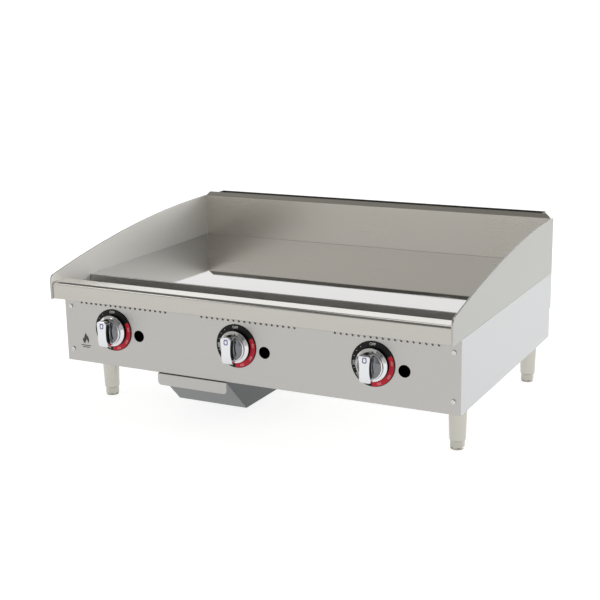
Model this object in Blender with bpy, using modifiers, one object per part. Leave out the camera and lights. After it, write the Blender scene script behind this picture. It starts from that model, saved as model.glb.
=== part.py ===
"""Countertop gas griddle with a flat polished plate, built from its separate pieces.

Metres, +Z up, the front faces -Y. The origin is on the counter under the middle of the whole
outline, so x = 0 is the middle of the width.
"""

import math

import bmesh
import bpy
from mathutils import Matrix
from mathutils import Vector

# Overall sizes
WIDTH = 0.9144  # outer face to outer face
BODY_DEPTH = 0.602  # front panel face to the rear edge of the side panels
SPLASH_REACH = 0.048  # side splashes ahead of the front panel face
INLET_REACH = 0.060  # gas inlet behind the side panels
LEG_HEIGHT = 0.1043  # counter to the underside of the casing
SIDE_HEIGHT = 0.1488  # casing, underside to the seam under the splashes

# General
GAP = 0.0003  # between pieces that touch
SHEET = 0.0015  # casing sheet
SIDE_FLANGE = 0.026  # inward flanges of the side panels
PANEL_FLANGE = 0.018  # rearward flange under the front panel
REAR_FLANGE = 0.008  # forward flanges of the rear panel
REAR_SET_IN = 0.006  # rear panel inside the rear edge of the side panels
NOTCH_DEPTH = 0.008  # step in the rear edge of a side panel
NOTCH_HEIGHT = 0.0662

# Front rail
RAIL_REACH = 0.0445
RAIL_HEIGHT = 0.0372
RAIL_NOSE_RADIUS = 0.008
RAIL_BACK_RADIUS = 0.009
RAIL_BACK_DROP = 0.033  # rear lip, down from the top of the rail
RAIL_BACK = 0.0034  # rear lip behind the front panel face

# Grease trough, plate and splashes
TROUGH_FLOOR = 0.0406  # trough floor under the plate's underside
TROUGH_LIP = 0.0074  # front wall above the plate's underside
TROUGH_UNDER_PLATE = 0.0107  # trough reaches under the plate
DRAIN_X = -0.1392
DRAIN_WIDTH = 0.070
DRAIN_DEPTH = 0.045
DRAIN_BACK = 0.003  # chute to the trough's rear face
PLATE_THICKNESS = 0.0254
PLATE_SETBACK = 0.0893  # plate front edge behind the front panel face
PLATE_EDGE = 0.0015
SPLASH_THICKNESS = 0.004
SPLASH_HEIGHT = 0.1266  # at the rear, above the seam
SPLASH_DROP = 0.0765  # how much lower the top edge is at the front
SPLASH_CORNER = 0.015
BACK_LIP_HEIGHT = 0.010
BACK_LIP_LEAN = 0.003
BACK_LIP_MITRE = 0.011
FLUE_INSET = 0.0292  # flue side wall inside the casing side
FLUE_DEPTH = 0.045
FLUE_ABOVE_SPLASH = 0.007
FLUE_OPENING_HEIGHT = 0.040
FLUE_OPENING_INSET = 0.030
FLUE_OPENING_DROP = 0.012  # top of the opening under the plate's underside

# Burners and what carries them
STATIONS = {"left": -1, "centre": 0, "right": 1}
BURNER_PITCH = 0.3048
BURNER_RADIUS = 0.019
BURNER_BORE = 0.0155
BURNER_DROP = 0.0596  # burner axis under the plate's underside
BULKHEAD_CLEARANCE = 0.005  # front bulkhead behind the grease trough
BULKHEAD_FLANGE = 0.008
REST_OFFSET = 0.020  # front burner rest behind the bulkhead face
REST_INSET = 0.037  # rear burner rest ahead of the rear panel
REST_FLANGE = 0.015
REST_CLEARANCE = 0.010  # burner rest to the gas pipe
SHIELD_DROP = 0.0247  # heat shield under the top of the burner rests
SHIELD_LIP = 0.010
SHIELD_CLEARANCE = 0.006
SHIELD_TO_PIPE = 0.003
BURNER_END_GAP = 0.022  # burner ends ahead of the rear panel
PILOT_RADIUS = 0.007
PILOT_TOP_RADIUS = 0.0049
PILOT_HEIGHT = 0.017
PILOT_SHOULDER = 0.0136

# Gas train
PIPE_RADIUS = 0.01335
PIPE_BORE = 0.0105
PIPE_SETBACK = 0.032  # manifold axis behind the front panel face
PIPE_HEIGHT = 0.0297  # manifold axis above the underside of the casing
PIPE_INSET = 0.052  # inlet pipe axis inside the casing side
PIPE_BEND = 0.045
COUPLING_RADIUS = 0.018
COUPLING_LENGTH = 0.026
VALVE_SIZE = (0.044, 0.040, 0.046)
VALVE_SETBACK = 0.014  # front face of the thermostat behind the front panel face
SPUD_RADIUS = 0.008
BOSS_RADIUS = 0.0085
SUPPLY_RADIUS = 0.0045
SUPPLY_RISE = 0.008  # thermostat outlet above the knob axis
SUPPLY_STRAIGHT = 0.008  # straight stretch at each end
PILOT_TUBE_RADIUS = 0.003
PILOT_TUBE_BEND = 0.010
BEND_STEPS = 8

# Controls
KNOB_OFFSET = -0.0268  # knob axis from the burner axis
KNOB_RISE = 0.0069  # knob axis above the middle line of the front panel
LIGHTING_OFFSET = 0.065  # lighting hole right of the knob axis
LIGHTING_RADIUS = 0.0127
DIAL_RADIUS = 0.046
DIAL_THICKNESS = 0.0022
SHAFT_HOLE = 0.0095
STEM_RADIUS = 0.004
STEM_IN_VALVE = 0.010
STEM_CLEARANCE = 0.0003
KNOB_STANDOFF = 0.008  # rear face of the knob ahead of the front panel face
KNOB_SKIRT_RADIUS = 0.034
KNOB_SKIRT_RIM = 0.003
KNOB_SKIRT = 0.007
KNOB_BODY_RADIUS = 0.027
KNOB_BODY_FLARE = 0.001
KNOB_BODY = 0.016
KNOB_EDGE_WIDTH = 0.004
KNOB_EDGE_HEIGHT = 0.003
KNOB_LENGTH = 0.037
GRIP_WIDTH = 0.024
GRIP_LENGTH = 0.060
GRIP_EDGE = 0.003
SOCKET_DEPTH = 0.022

# Vent holes and panel screws
VENTS_PER_STATION = 18
VENT_PITCH = 0.0127
VENT_RADIUS = 0.0027
VENT_DROP = 0.0147  # vent row under the top of the front panel
SCREW_INSET = 0.0148
SCREW_RISE = 0.0270  # lower screws above the underside of the casing
SCREW_DROP = 0.0250  # upper screws under the seam
SCREW_HEAD_RADIUS = 0.0050
SCREW_HEAD_HEIGHT = 0.0022
SCREW_CROWN_RADIUS = 0.0030
SCREW_RIM = 0.0009
SCREW_RADIUS = 0.0022
SCREW_LENGTH = 2 * SHEET + 2 * GAP  # through the panel and the flange behind it
SCREW_HOLE = 0.0026

# Legs
LEG_INSET = 0.0406
LEG_FRONT = 0.098  # front legs behind the front panel face
LEG_REAR = 0.031  # rear legs ahead of the rear edge
LEG_TOP_RADIUS = 0.0195
LEG_BOTTOM_RADIUS = 0.0160
LEG_COLLAR = 0.008
LEG_STUD_RADIUS = 0.0048
LEG_STUD = 0.012
FOOT_HEIGHT = 0.018
FOOT_RADIUS = 0.0150
FOOT_PAD_RADIUS = 0.0140
FOOT_SOLE_RADIUS = 0.0128
FOOT_PAD_HEIGHT = 0.003
HEXAGON_BOTTOM = 0.0015
THREAD_RADIUS = 0.0050
THREAD_LENGTH = 0.042
THREAD_CLEARANCE = 0.0003

# Grease drawer
DRAWER_WIDTH = 0.1686
DRAWER_LENGTH = 0.290
DRAWER_SLOPE_RUN = 0.080  # the front wall slopes back over this length
DRAWER_CLEARANCE = 0.0026  # top of the drawer under the casing
DRAWER_HEIGHT = 0.0802
DRAWER_SETBACK = 0.002
DRAWER_SHEET = 0.0012
DRAWER_FLANGE = 0.008
DRAWER_FLANGE_START = 0.030  # the side flanges begin behind the front edge
PULL_HEIGHT = 0.0250
PULL_CORNER = 0.008
DRAWER_TO_RAIL = 0.0025  # drawer side to the lower leg of its rail
RAIL_TOP = 0.012

# Places that follow from the sizes
HALF = WIDTH / 2
PANEL_Y = SPLASH_REACH - (SPLASH_REACH + BODY_DEPTH + INLET_REACH) / 2
BODY_BACK = PANEL_Y + BODY_DEPTH
INLET_END = BODY_BACK + INLET_REACH
BASE = LEG_HEIGHT
SEAM = BASE + SIDE_HEIGHT
PLATE_BOTTOM = SEAM + SHEET
PLATE_TOP = PLATE_BOTTOM + PLATE_THICKNESS
PLATE_FRONT = PANEL_Y + PLATE_SETBACK
REAR_FACE = BODY_BACK - REAR_SET_IN
PLATE_BACK = REAR_FACE - SHEET - GAP
INSIDE = HALF - SHEET - GAP
BETWEEN_SPLASHES = HALF - SPLASH_THICKNESS - GAP
SPLASH_TOP = SEAM + GAP + SPLASH_HEIGHT
RAIL_BOTTOM = SEAM + 2 * GAP
TROUGH_FRONT = PANEL_Y + RAIL_BACK + GAP
TROUGH_BACK = PLATE_FRONT + TROUGH_UNDER_PLATE
TROUGH_BOTTOM = PLATE_BOTTOM - TROUGH_FLOOR
DRAIN_Y = TROUGH_BACK - DRAIN_BACK - DRAIN_DEPTH / 2
BULKHEAD_Y = TROUGH_BACK + BULKHEAD_CLEARANCE
BURNER_Z = PLATE_BOTTOM - BURNER_DROP
LIGHTING_Z = BASE + SIDE_HEIGHT / 2
KNOB_Z = LIGHTING_Z + KNOB_RISE
PIPE_X = HALF - PIPE_INSET
PIPE_Y = PANEL_Y + PIPE_SETBACK
PIPE_Z = BASE + PIPE_HEIGHT
REST_HALF = PIPE_X - PIPE_RADIUS - REST_CLEARANCE
REST_TOP = BURNER_Z - BURNER_RADIUS - GAP
REST_FRONT = BULKHEAD_Y + REST_OFFSET
REST_REAR = REAR_FACE - REAR_FLANGE - REST_INSET
DRAWER_TOP = BASE - DRAWER_CLEARANCE
DRAWER_FRONT = PANEL_Y + DRAWER_SETBACK
LEG_Y = {"front": PANEL_Y + LEG_FRONT, "rear": BODY_BACK - LEG_REAR}
FACING_FRONT = (math.radians(90), 0, 0)  # turns local +Z to face -Y
THROUGH = 4 * SHEET  # length of a cutter that goes through one sheet

# Colour, roughness and metallic value of each finish
FINISHES = {
    "stainless": ((0.62, 0.61, 0.59), 0.32, 1.0),
    "griddle_steel": ((0.55, 0.55, 0.56), 0.12, 1.0),
    "aluminised": ((0.45, 0.45, 0.44), 0.50, 1.0),
    "black_iron": ((0.06, 0.06, 0.06), 0.60, 0.6),
    "brass": ((0.60, 0.45, 0.20), 0.35, 1.0),
    "valve_casting": ((0.55, 0.55, 0.53), 0.45, 1.0),
    "gas_tube": ((0.70, 0.70, 0.70), 0.30, 1.0),
    "dial_enamel": ((0.02, 0.02, 0.02), 0.35, 0.0),
    "chrome": ((0.75, 0.75, 0.76), 0.10, 1.0),
    "screw_steel": ((0.50, 0.50, 0.50), 0.30, 1.0),
    "leg_metal": ((0.60, 0.60, 0.57), 0.40, 1.0),
    "foot_metal": ((0.55, 0.55, 0.53), 0.40, 1.0),
}


def clear_scene():
    for old in list(bpy.data.objects):
        bpy.data.objects.remove(old, do_unlink=True)


def new_collection(name):
    collection = bpy.data.collections.new(name)
    bpy.context.scene.collection.children.link(collection)
    return collection


clear_scene()
parts = new_collection("flat_top_griddle")
cutters = new_collection("cutters")


def finish(obj, finish_name):
    """Gives the object its own material."""
    colour, roughness, metallic = FINISHES[finish_name]
    material = bpy.data.materials.new(obj.name)
    material.use_nodes = True
    shader = material.node_tree.nodes["Principled BSDF"]
    shader.inputs["Base Color"].default_value = (*colour, 1)
    shader.inputs["Roughness"].default_value = roughness
    shader.inputs["Metallic"].default_value = metallic
    material.diffuse_color = (*colour, 1)
    obj.data.materials.append(material)


def new_object(name, bm, collection=None):
    bmesh.ops.recalc_face_normals(bm, faces=bm.faces)
    mesh = bpy.data.meshes.new(name)
    bm.to_mesh(mesh)
    bm.free()
    obj = bpy.data.objects.new(name, mesh)
    (collection or parts).objects.link(obj)
    return obj


def sheet_object(name, bm):
    """An open surface as it is: its faces already point outwards."""
    mesh = bpy.data.meshes.new(name)
    bm.to_mesh(mesh)
    bm.free()
    obj = bpy.data.objects.new(name, mesh)
    parts.objects.link(obj)
    return obj


def as_cutter(obj):
    obj.hide_render = True
    obj.display_type = "WIRE"
    return obj


def boolean(obj, operation, other):
    modifier = obj.modifiers.new(f"{operation.lower()}_{other.name}", "BOOLEAN")
    modifier.operation = operation
    modifier.solver = "EXACT"
    modifier.object = other


def cut(obj, *tools):
    for tool in tools:
        boolean(obj, "DIFFERENCE", tool)


def join(obj, *pieces):
    for piece in pieces:
        boolean(obj, "UNION", piece)


def solidify(obj, thickness, offset=-1):
    modifier = obj.modifiers.new("sheet", "SOLIDIFY")
    modifier.thickness = thickness
    modifier.offset = offset
    modifier.use_even_offset = True


def bevel(obj, width, segments=1, angle=40):
    modifier = obj.modifiers.new("edges", "BEVEL")
    modifier.width = width
    modifier.segments = segments
    modifier.limit_method = "ANGLE"
    modifier.angle_limit = math.radians(angle)


def smooth(obj, angle=35):
    obj.data.shade_smooth()
    obj.data.set_sharp_from_angle(angle=math.radians(angle))


def box_mesh(low, high):
    bm = bmesh.new()
    low = Vector(low)
    size = Vector(high) - low
    bmesh.ops.create_cube(bm, size=1)
    bmesh.ops.scale(bm, vec=size, verts=bm.verts)
    bmesh.ops.translate(bm, vec=low + size / 2, verts=bm.verts)
    return bm


def box(name, low, high):
    return new_object(name, box_mesh(low, high))


def box_cutter(name, low, high):
    return as_cutter(new_object(name, box_mesh(low, high), cutters))


def add_rod(bm, centre, axis, radius, length, sides):
    """Adds a cylinder of the given length, centred on a point, along axis X, Y or Z."""
    turn = {
        "X": Matrix.Rotation(math.radians(90), 4, "Y"),
        "Y": Matrix.Rotation(math.radians(90), 4, "X"),
        "Z": Matrix.Identity(4),
    }[axis]
    bmesh.ops.create_cone(
        bm,
        cap_ends=True,
        segments=sides,
        radius1=radius,
        radius2=radius,
        depth=length,
        matrix=Matrix.Translation(centre) @ turn,
    )


def rod_cutter(name, centres, axis, radius, length, sides=24):
    bm = bmesh.new()
    for centre in centres:
        add_rod(bm, centre, axis, radius, length, sides)
    return as_cutter(new_object(name, bm, cutters))


def rounded(points, radii, steps=5):
    """Replaces each corner that has a radius with an arc of that radius."""
    result = []
    count = len(points)
    for index, point in enumerate(points):
        radius = radii.get(index, 0)
        if not radius:
            result.append(point)
            continue
        corner = Vector(point)
        before = (Vector(points[index - 1]) - corner).normalized()
        after = (Vector(points[(index + 1) % count]) - corner).normalized()
        half_angle = before.angle(after) / 2
        reach = radius / math.tan(half_angle)
        centre = corner + (before + after).normalized() * radius / math.sin(half_angle)
        start = (corner + before * reach - centre).normalized()
        end = (corner + after * reach - centre).normalized()
        for step in range(steps + 1):
            arm = start.slerp(end, step / steps)
            result.append(tuple(centre + arm * radius))
    return result


PLANES = {
    "YZ": lambda a, b, level: (level, a, b),
    "XZ": lambda a, b, level: (a, level, b),
    "XY": lambda a, b, level: (a, b, level),
}
NORMALS = {"YZ": Vector((1, 0, 0)), "XZ": Vector((0, 1, 0)), "XY": Vector((0, 0, 1))}


def prism_mesh(outline, plane, start, end):
    """A closed prism: the outline in its plane, run from one level to another.

    Returns the mesh, its two caps, and its side faces in the order of the outline's edges.
    """
    bm = bmesh.new()
    place = PLANES[plane]
    loop = [bm.verts.new(place(a, b, start)) for a, b in outline]
    first = bm.faces.new(loop)
    grown = bmesh.ops.extrude_face_region(bm, geom=[first], use_keep_orig=True)
    moved = [item for item in grown["geom"] if isinstance(item, bmesh.types.BMVert)]
    last = [item for item in grown["geom"] if isinstance(item, bmesh.types.BMFace)][0]
    bmesh.ops.translate(bm, vec=NORMALS[plane] * (end - start), verts=moved)
    sides = []
    for index, vert in enumerate(loop):
        edge = bm.edges.get((vert, loop[(index + 1) % len(loop)]))
        sides.append([face for face in edge.link_faces if face is not first][0])
    bmesh.ops.recalc_face_normals(bm, faces=bm.faces)
    return bm, (first, last), sides


def plate(name, outline, plane, start, end):
    return new_object(name, prism_mesh(outline, plane, start, end)[0])


def pressed(name, outline, plane, start, end, thickness=SHEET, open_edges=(), open_both=False):
    """A sheet pressed into a tray: the face at start stays, the one at end is open.

    The flanges named in open_edges, by their place in the outline, are left out.
    """
    bm, caps, sides = prism_mesh(outline, plane, start, end)
    gone = [caps[1]] + [sides[index] for index in open_edges]
    if open_both:
        gone.append(caps[0])
    bmesh.ops.delete(bm, geom=gone, context="FACES")
    obj = sheet_object(name, bm)
    solidify(obj, thickness)
    return obj


def channel(name, outline, start, end, thickness, open_edges):
    """A trough along X with both ends closed. open_edges are the outline's edges with no wall."""
    bm, _, sides = prism_mesh(outline, "YZ", start, end)
    bmesh.ops.delete(bm, geom=[sides[index] for index in open_edges], context="FACES")
    obj = sheet_object(name, bm)
    solidify(obj, thickness)
    return obj


def folded(name, profile, plane, start, end, thickness, side):
    """A strip of sheet folded along a profile. side is 1 or -1, the side that gets the wall."""
    bm = bmesh.new()
    place = PLANES[plane]
    rows = [
        (bm.verts.new(place(a, b, start)), bm.verts.new(place(a, b, end))) for a, b in profile
    ]
    for (near_a, far_a), (near_b, far_b) in zip(rows, rows[1:]):
        bm.faces.new((near_a, far_a, far_b, near_b))
    obj = sheet_object(name, bm)
    solidify(obj, thickness, side)
    return obj


def turned(name, profile, place, rotation=(0, 0, 0), steps=24, closed=False, collection=None):
    """A turned piece: radius and height pairs that run down the outer side, spun about Z."""
    mesh = bpy.data.meshes.new(name)
    edges = [(index, index + 1) for index in range(len(profile) - 1)]
    if closed:
        edges.append((len(profile) - 1, 0))
    mesh.from_pydata([(radius, 0, height) for radius, height in profile], edges, [])
    obj = bpy.data.objects.new(name, mesh)
    (collection or parts).objects.link(obj)
    modifier = obj.modifiers.new("turn", "SCREW")
    modifier.steps = steps
    modifier.render_steps = steps
    modifier.use_merge_vertices = True
    modifier.merge_threshold = 0.00001
    modifier.use_smooth_shade = True
    obj.location = place
    obj.rotation_euler = rotation
    return obj


def curve_rod(name, points, radius, sides_setting=3):
    """A round rod or tube along points, as a mesh with welded end caps."""
    curve = bpy.data.curves.new(name, "CURVE")
    curve.dimensions = "3D"
    curve.bevel_depth = radius
    curve.bevel_resolution = sides_setting
    curve.use_fill_caps = True
    spline = curve.splines.new("POLY")
    spline.points.add(len(points) - 1)
    for point, co in zip(spline.points, points):
        point.co = (*co, 1)
    holder = bpy.data.objects.new(name + "_path", curve)
    bpy.context.scene.collection.objects.link(holder)
    graph = bpy.context.evaluated_depsgraph_get()
    mesh = bpy.data.meshes.new_from_object(holder.evaluated_get(graph))
    bpy.data.objects.remove(holder)
    bm = bmesh.new()
    bm.from_mesh(mesh)
    bpy.data.meshes.remove(mesh)
    bmesh.ops.remove_doubles(bm, verts=bm.verts, dist=0.00001)
    return bm


def rectangle(low_a, high_a, low_b, high_b):
    return [(low_a, low_b), (high_a, low_b), (high_a, high_b), (low_a, high_b)]


def burner_x(station):
    return STATIONS[station] * BURNER_PITCH


def knob_x(station):
    return burner_x(station) + KNOB_OFFSET


def lighting_x(station):
    return knob_x(station) + LIGHTING_OFFSET


# ---------------------------------------------------------------- casing


def screw_places():
    places = {}
    for side, sign in (("left", -1), ("right", 1)):
        for row, height in (("lower", BASE + SCREW_RISE), ("upper", SEAM - SCREW_DROP)):
            places[f"{side}_{row}"] = (sign * (HALF - SCREW_INSET), height)
    return places


def make_side_panels(screw_holes):
    """Sheets with a front and a bottom flange. The rear edge steps in near the counter."""
    front = PANEL_Y + SHEET + GAP
    outline = [
        (front, BASE),
        (BODY_BACK - NOTCH_DEPTH, BASE),
        (BODY_BACK - NOTCH_DEPTH, BASE + NOTCH_HEIGHT),
        (BODY_BACK, BASE + NOTCH_HEIGHT),
        (BODY_BACK, SEAM),
        (front, SEAM),
    ]
    no_flange = (1, 2, 3, 4)
    for side, sign in (("left", -1), ("right", 1)):
        name = f"{side}_side_panel"
        start = sign * HALF
        end = sign * (HALF - SIDE_FLANGE)
        panel = pressed(name, outline, "YZ", start, end, open_edges=no_flange)
        cut(panel, screw_holes)
        finish(panel, "stainless")


def vent_places():
    height = SEAM - VENT_DROP
    middle = (VENTS_PER_STATION - 1) / 2
    for station in STATIONS:
        for index in range(VENTS_PER_STATION):
            yield (burner_x(station) + (index - middle) * VENT_PITCH, PANEL_Y, height)


def make_front_panel(screw_holes, lighting_holes):
    """The control panel: flanged below, with shaft, lighting, vent and screw holes."""
    outline = rectangle(-HALF, HALF, BASE, SEAM + GAP)
    panel = pressed(
        "front_panel", outline, "XZ", PANEL_Y, PANEL_Y + PANEL_FLANGE, open_edges=(1, 2, 3)
    )
    relief_front = PANEL_Y + SHEET
    for side, sign in (("left", -1), ("right", 1)):
        ends = sorted((sign * (HALF - SIDE_FLANGE - GAP), sign * (HALF + SHEET)))
        relief = box_cutter(
            f"flange_relief_{side}",
            (ends[0], relief_front, BASE - SHEET),
            (ends[1], PANEL_Y + 2 * PANEL_FLANGE, SEAM + SHEET),
        )
        cut(panel, relief)
    shafts = [(knob_x(station), PANEL_Y, KNOB_Z) for station in STATIONS]
    shaft_holes = rod_cutter("shaft_holes", shafts, "Y", SHAFT_HOLE, THROUGH)
    vents = rod_cutter("vent_holes", vent_places(), "Y", VENT_RADIUS, THROUGH, 6)
    cut(panel, shaft_holes, lighting_holes, vents, screw_holes)
    finish(panel, "stainless")


def make_rear_panel(pipe_hole):
    """The rear wall carries the back of the plate and opens into the flue."""
    bottom = BASE + SHEET + GAP
    outline = rectangle(-BETWEEN_SPLASHES, BETWEEN_SPLASHES, bottom, PLATE_BOTTOM - GAP)
    panel = pressed("rear_panel", outline, "XZ", REAR_FACE, REAR_FACE - REAR_FLANGE)
    half = HALF - FLUE_INSET - FLUE_OPENING_INSET
    top = PLATE_BOTTOM - FLUE_OPENING_DROP
    opening = box_cutter(
        "flue_opening",
        (-half, REAR_FACE - 2 * SHEET, top - FLUE_OPENING_HEIGHT),
        (half, REAR_FACE + SHEET, top),
    )
    cut(panel, opening, pipe_hole)
    finish(panel, "aluminised")


def make_bottom_cover():
    """Closes the casing underneath, around the drain and the studs of the legs."""
    cover = box(
        "bottom_cover",
        (-HALF + SIDE_FLANGE + GAP, PANEL_Y + PANEL_FLANGE + GAP, BASE),
        (HALF - SIDE_FLANGE - GAP, REAR_FACE - REAR_FLANGE - GAP, BASE + SHEET),
    )
    drain = box_cutter(
        "drain_through_cover",
        (DRAIN_X - DRAIN_WIDTH / 2 - GAP, DRAIN_Y - DRAIN_DEPTH / 2 - GAP, BASE - SHEET),
        (DRAIN_X + DRAIN_WIDTH / 2 + GAP, DRAIN_Y + DRAIN_DEPTH / 2 + GAP, BASE + 2 * SHEET),
    )
    studs = [(x, y, BASE) for x, y in leg_places().values()]
    stud_holes = rod_cutter("stud_holes", studs, "Z", LEG_STUD_RADIUS + GAP, THROUGH, 20)
    cut(cover, drain, stud_holes)
    finish(cover, "aluminised")


def make_front_rail():
    """The rounded rail across the front. Its rear lip hangs inside the grease trough."""
    front = PANEL_Y - RAIL_REACH
    back = PANEL_Y + RAIL_BACK
    top = RAIL_BOTTOM + RAIL_HEIGHT
    corners = [
        (PANEL_Y, RAIL_BOTTOM),
        (front, RAIL_BOTTOM),
        (front, top),
        (back, top),
        (back, top - RAIL_BACK_DROP),
    ]
    profile = rounded(corners, {1: SHEET, 2: RAIL_NOSE_RADIUS, 3: RAIL_BACK_RADIUS})
    rail = folded("front_rail", profile, "YZ", -BETWEEN_SPLASHES, BETWEEN_SPLASHES, SHEET, -1)
    finish(rail, "stainless")


def make_griddle_plate():
    griddle = box(
        "griddle_plate",
        (-BETWEEN_SPLASHES, PLATE_FRONT, PLATE_BOTTOM),
        (BETWEEN_SPLASHES, PLATE_BACK, PLATE_TOP),
    )
    bevel(griddle, PLATE_EDGE, 2)
    finish(griddle, "griddle_steel")


def splash_outline():
    """Flat below, upright at the front and rear, and along the top a falling parabola."""
    front = PANEL_Y - SPLASH_REACH
    bottom = SEAM + GAP
    length = BODY_BACK - front
    steps = 14
    top_edge = []
    for step in range(steps + 1):
        back = length * step / steps
        top_edge.append((BODY_BACK - back, SPLASH_TOP - SPLASH_DROP * (back / length) ** 2))
    corners = [(front, bottom), (BODY_BACK, bottom)] + top_edge
    return rounded(corners, {len(corners) - 1: SPLASH_CORNER}, 6)


def make_side_splashes():
    outline = splash_outline()
    for side, sign in (("left", -1), ("right", 1)):
        inner = sign * (HALF - SPLASH_THICKNESS)
        splash = plate(f"{side}_splash", outline, "YZ", inner, sign * HALF)
        finish(splash, "stainless")


def make_back_splash():
    """The rear splash stands behind the plate. Its top lip leans back and has mitred ends."""
    wide = BETWEEN_SPLASHES
    y = REAR_FACE
    rows = [
        (wide, y, PLATE_BOTTOM),
        (wide, y, SPLASH_TOP),
        (wide - BACK_LIP_MITRE, y + BACK_LIP_LEAN, SPLASH_TOP + BACK_LIP_HEIGHT),
    ]
    bm = bmesh.new()
    ends = [(bm.verts.new((-x, y, z)), bm.verts.new((x, y, z))) for x, y, z in rows]
    for (left_a, right_a), (left_b, right_b) in zip(ends, ends[1:]):
        bm.faces.new((right_a, left_a, left_b, right_b))
    splash = sheet_object("back_splash", bm)
    solidify(splash, SHEET)
    finish(splash, "stainless")


def make_flue_duct():
    """A box behind the rear wall, open at the front and the top."""
    half = HALF - FLUE_INSET
    front = REAR_FACE + BACK_LIP_LEAN + 2 * GAP
    back = REAR_FACE + FLUE_DEPTH
    bottom = BASE + NOTCH_HEIGHT
    top = SPLASH_TOP + FLUE_ABOVE_SPLASH
    outline = rectangle(-half, half, bottom, top)
    duct = pressed("flue_duct", outline, "XZ", back, front, open_edges=(2,))
    finish(duct, "stainless")


# ---------------------------------------------------------------- grease path


def make_grease_trough():
    """A channel across the front of the plate, with a drain opening in its floor."""
    under_plate = PLATE_FRONT - 2 * GAP
    outline = [
        (TROUGH_FRONT, PLATE_BOTTOM + TROUGH_LIP),
        (TROUGH_FRONT, TROUGH_BOTTOM),
        (TROUGH_BACK, TROUGH_BOTTOM),
        (TROUGH_BACK, PLATE_BOTTOM - GAP),
        (under_plate, PLATE_BOTTOM - GAP),
        (under_plate, PLATE_BOTTOM + TROUGH_LIP),
    ]
    no_wall = (3, 4, 5)
    wide = BETWEEN_SPLASHES
    trough = channel("grease_trough", outline, -wide, wide, SHEET, no_wall)
    inner_x = DRAIN_WIDTH / 2 - SHEET
    inner_y = DRAIN_DEPTH / 2 - SHEET
    drain = box_cutter(
        "trough_drain",
        (DRAIN_X - inner_x, DRAIN_Y - inner_y, TROUGH_BOTTOM - SHEET),
        (DRAIN_X + inner_x, DRAIN_Y + inner_y, TROUGH_BOTTOM + 2 * SHEET),
    )
    cut(trough, drain)
    finish(trough, "stainless")


def make_drain_chute():
    """A square sleeve that leads grease from the trough down through the bottom cover."""
    outline = rectangle(
        DRAIN_X - DRAIN_WIDTH / 2,
        DRAIN_X + DRAIN_WIDTH / 2,
        DRAIN_Y - DRAIN_DEPTH / 2,
        DRAIN_Y + DRAIN_DEPTH / 2,
    )
    chute = pressed("drain_chute", outline, "XY", BASE, TROUGH_BOTTOM - GAP, open_both=True)
    finish(chute, "stainless")


def make_grease_drawer():
    """An open pan with a sloping front wall. Its side flanges slide on the two rails."""
    bottom = DRAWER_TOP - DRAWER_HEIGHT
    outline = [
        (DRAWER_FRONT, DRAWER_TOP),
        (DRAWER_FRONT + DRAWER_SLOPE_RUN, bottom),
        (DRAWER_FRONT + DRAWER_LENGTH, bottom),
        (DRAWER_FRONT + DRAWER_LENGTH, DRAWER_TOP),
    ]
    low = DRAIN_X - DRAWER_WIDTH / 2
    high = DRAIN_X + DRAWER_WIDTH / 2
    drawer = channel("grease_drawer", outline, low, high, DRAWER_SHEET, (3,))
    for side, edge, sign in (("left", low, -1), ("right", high, 1)):
        ends = sorted((edge - sign * DRAWER_SHEET / 2, edge + sign * DRAWER_FLANGE))
        flange = box_cutter(
            f"drawer_flange_{side}",
            (ends[0], DRAWER_FRONT + DRAWER_FLANGE_START, DRAWER_TOP - DRAWER_SHEET),
            (ends[1], DRAWER_FRONT + DRAWER_LENGTH, DRAWER_TOP),
        )
        join(drawer, flange)
    finish(drawer, "stainless")


def make_drawer_pull():
    """The lip on the front of the drawer, bent down to be gripped. Its lower corners are round."""
    low = DRAIN_X - DRAWER_WIDTH / 2
    high = DRAIN_X + DRAWER_WIDTH / 2
    corners = rectangle(low, high, DRAWER_TOP - PULL_HEIGHT, DRAWER_TOP)
    outline = rounded(corners, {0: PULL_CORNER, 1: PULL_CORNER})
    back = DRAWER_FRONT - GAP
    pull = plate("drawer_pull", outline, "XZ", back - DRAWER_SHEET, back)
    finish(pull, "stainless")


def make_drawer_rails():
    """Folded rails under the casing. The drawer's side flanges rest on their lower legs."""
    flange_bottom = DRAWER_TOP - DRAWER_SHEET
    for side, sign in (("left", -1), ("right", 1)):
        inner = DRAIN_X + sign * (DRAWER_WIDTH / 2 + DRAWER_TO_RAIL)
        web = DRAIN_X + sign * (DRAWER_WIDTH / 2 + DRAWER_FLANGE + DRAWER_SHEET + GAP)
        outer = web + sign * RAIL_TOP
        top = BASE - GAP
        profile = [
            (inner, flange_bottom - GAP),
            (web, flange_bottom - GAP),
            (web, top),
            (outer, top),
        ]
        if sign < 0:
            profile.reverse()
        start = DRAWER_FRONT + DRAWER_FLANGE_START
        end = DRAWER_FRONT + DRAWER_LENGTH
        rail = folded(f"drawer_rail_{side}", profile, "XZ", start, end, DRAWER_SHEET, 1)
        finish(rail, "aluminised")


# ---------------------------------------------------------------- burners and gas


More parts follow.
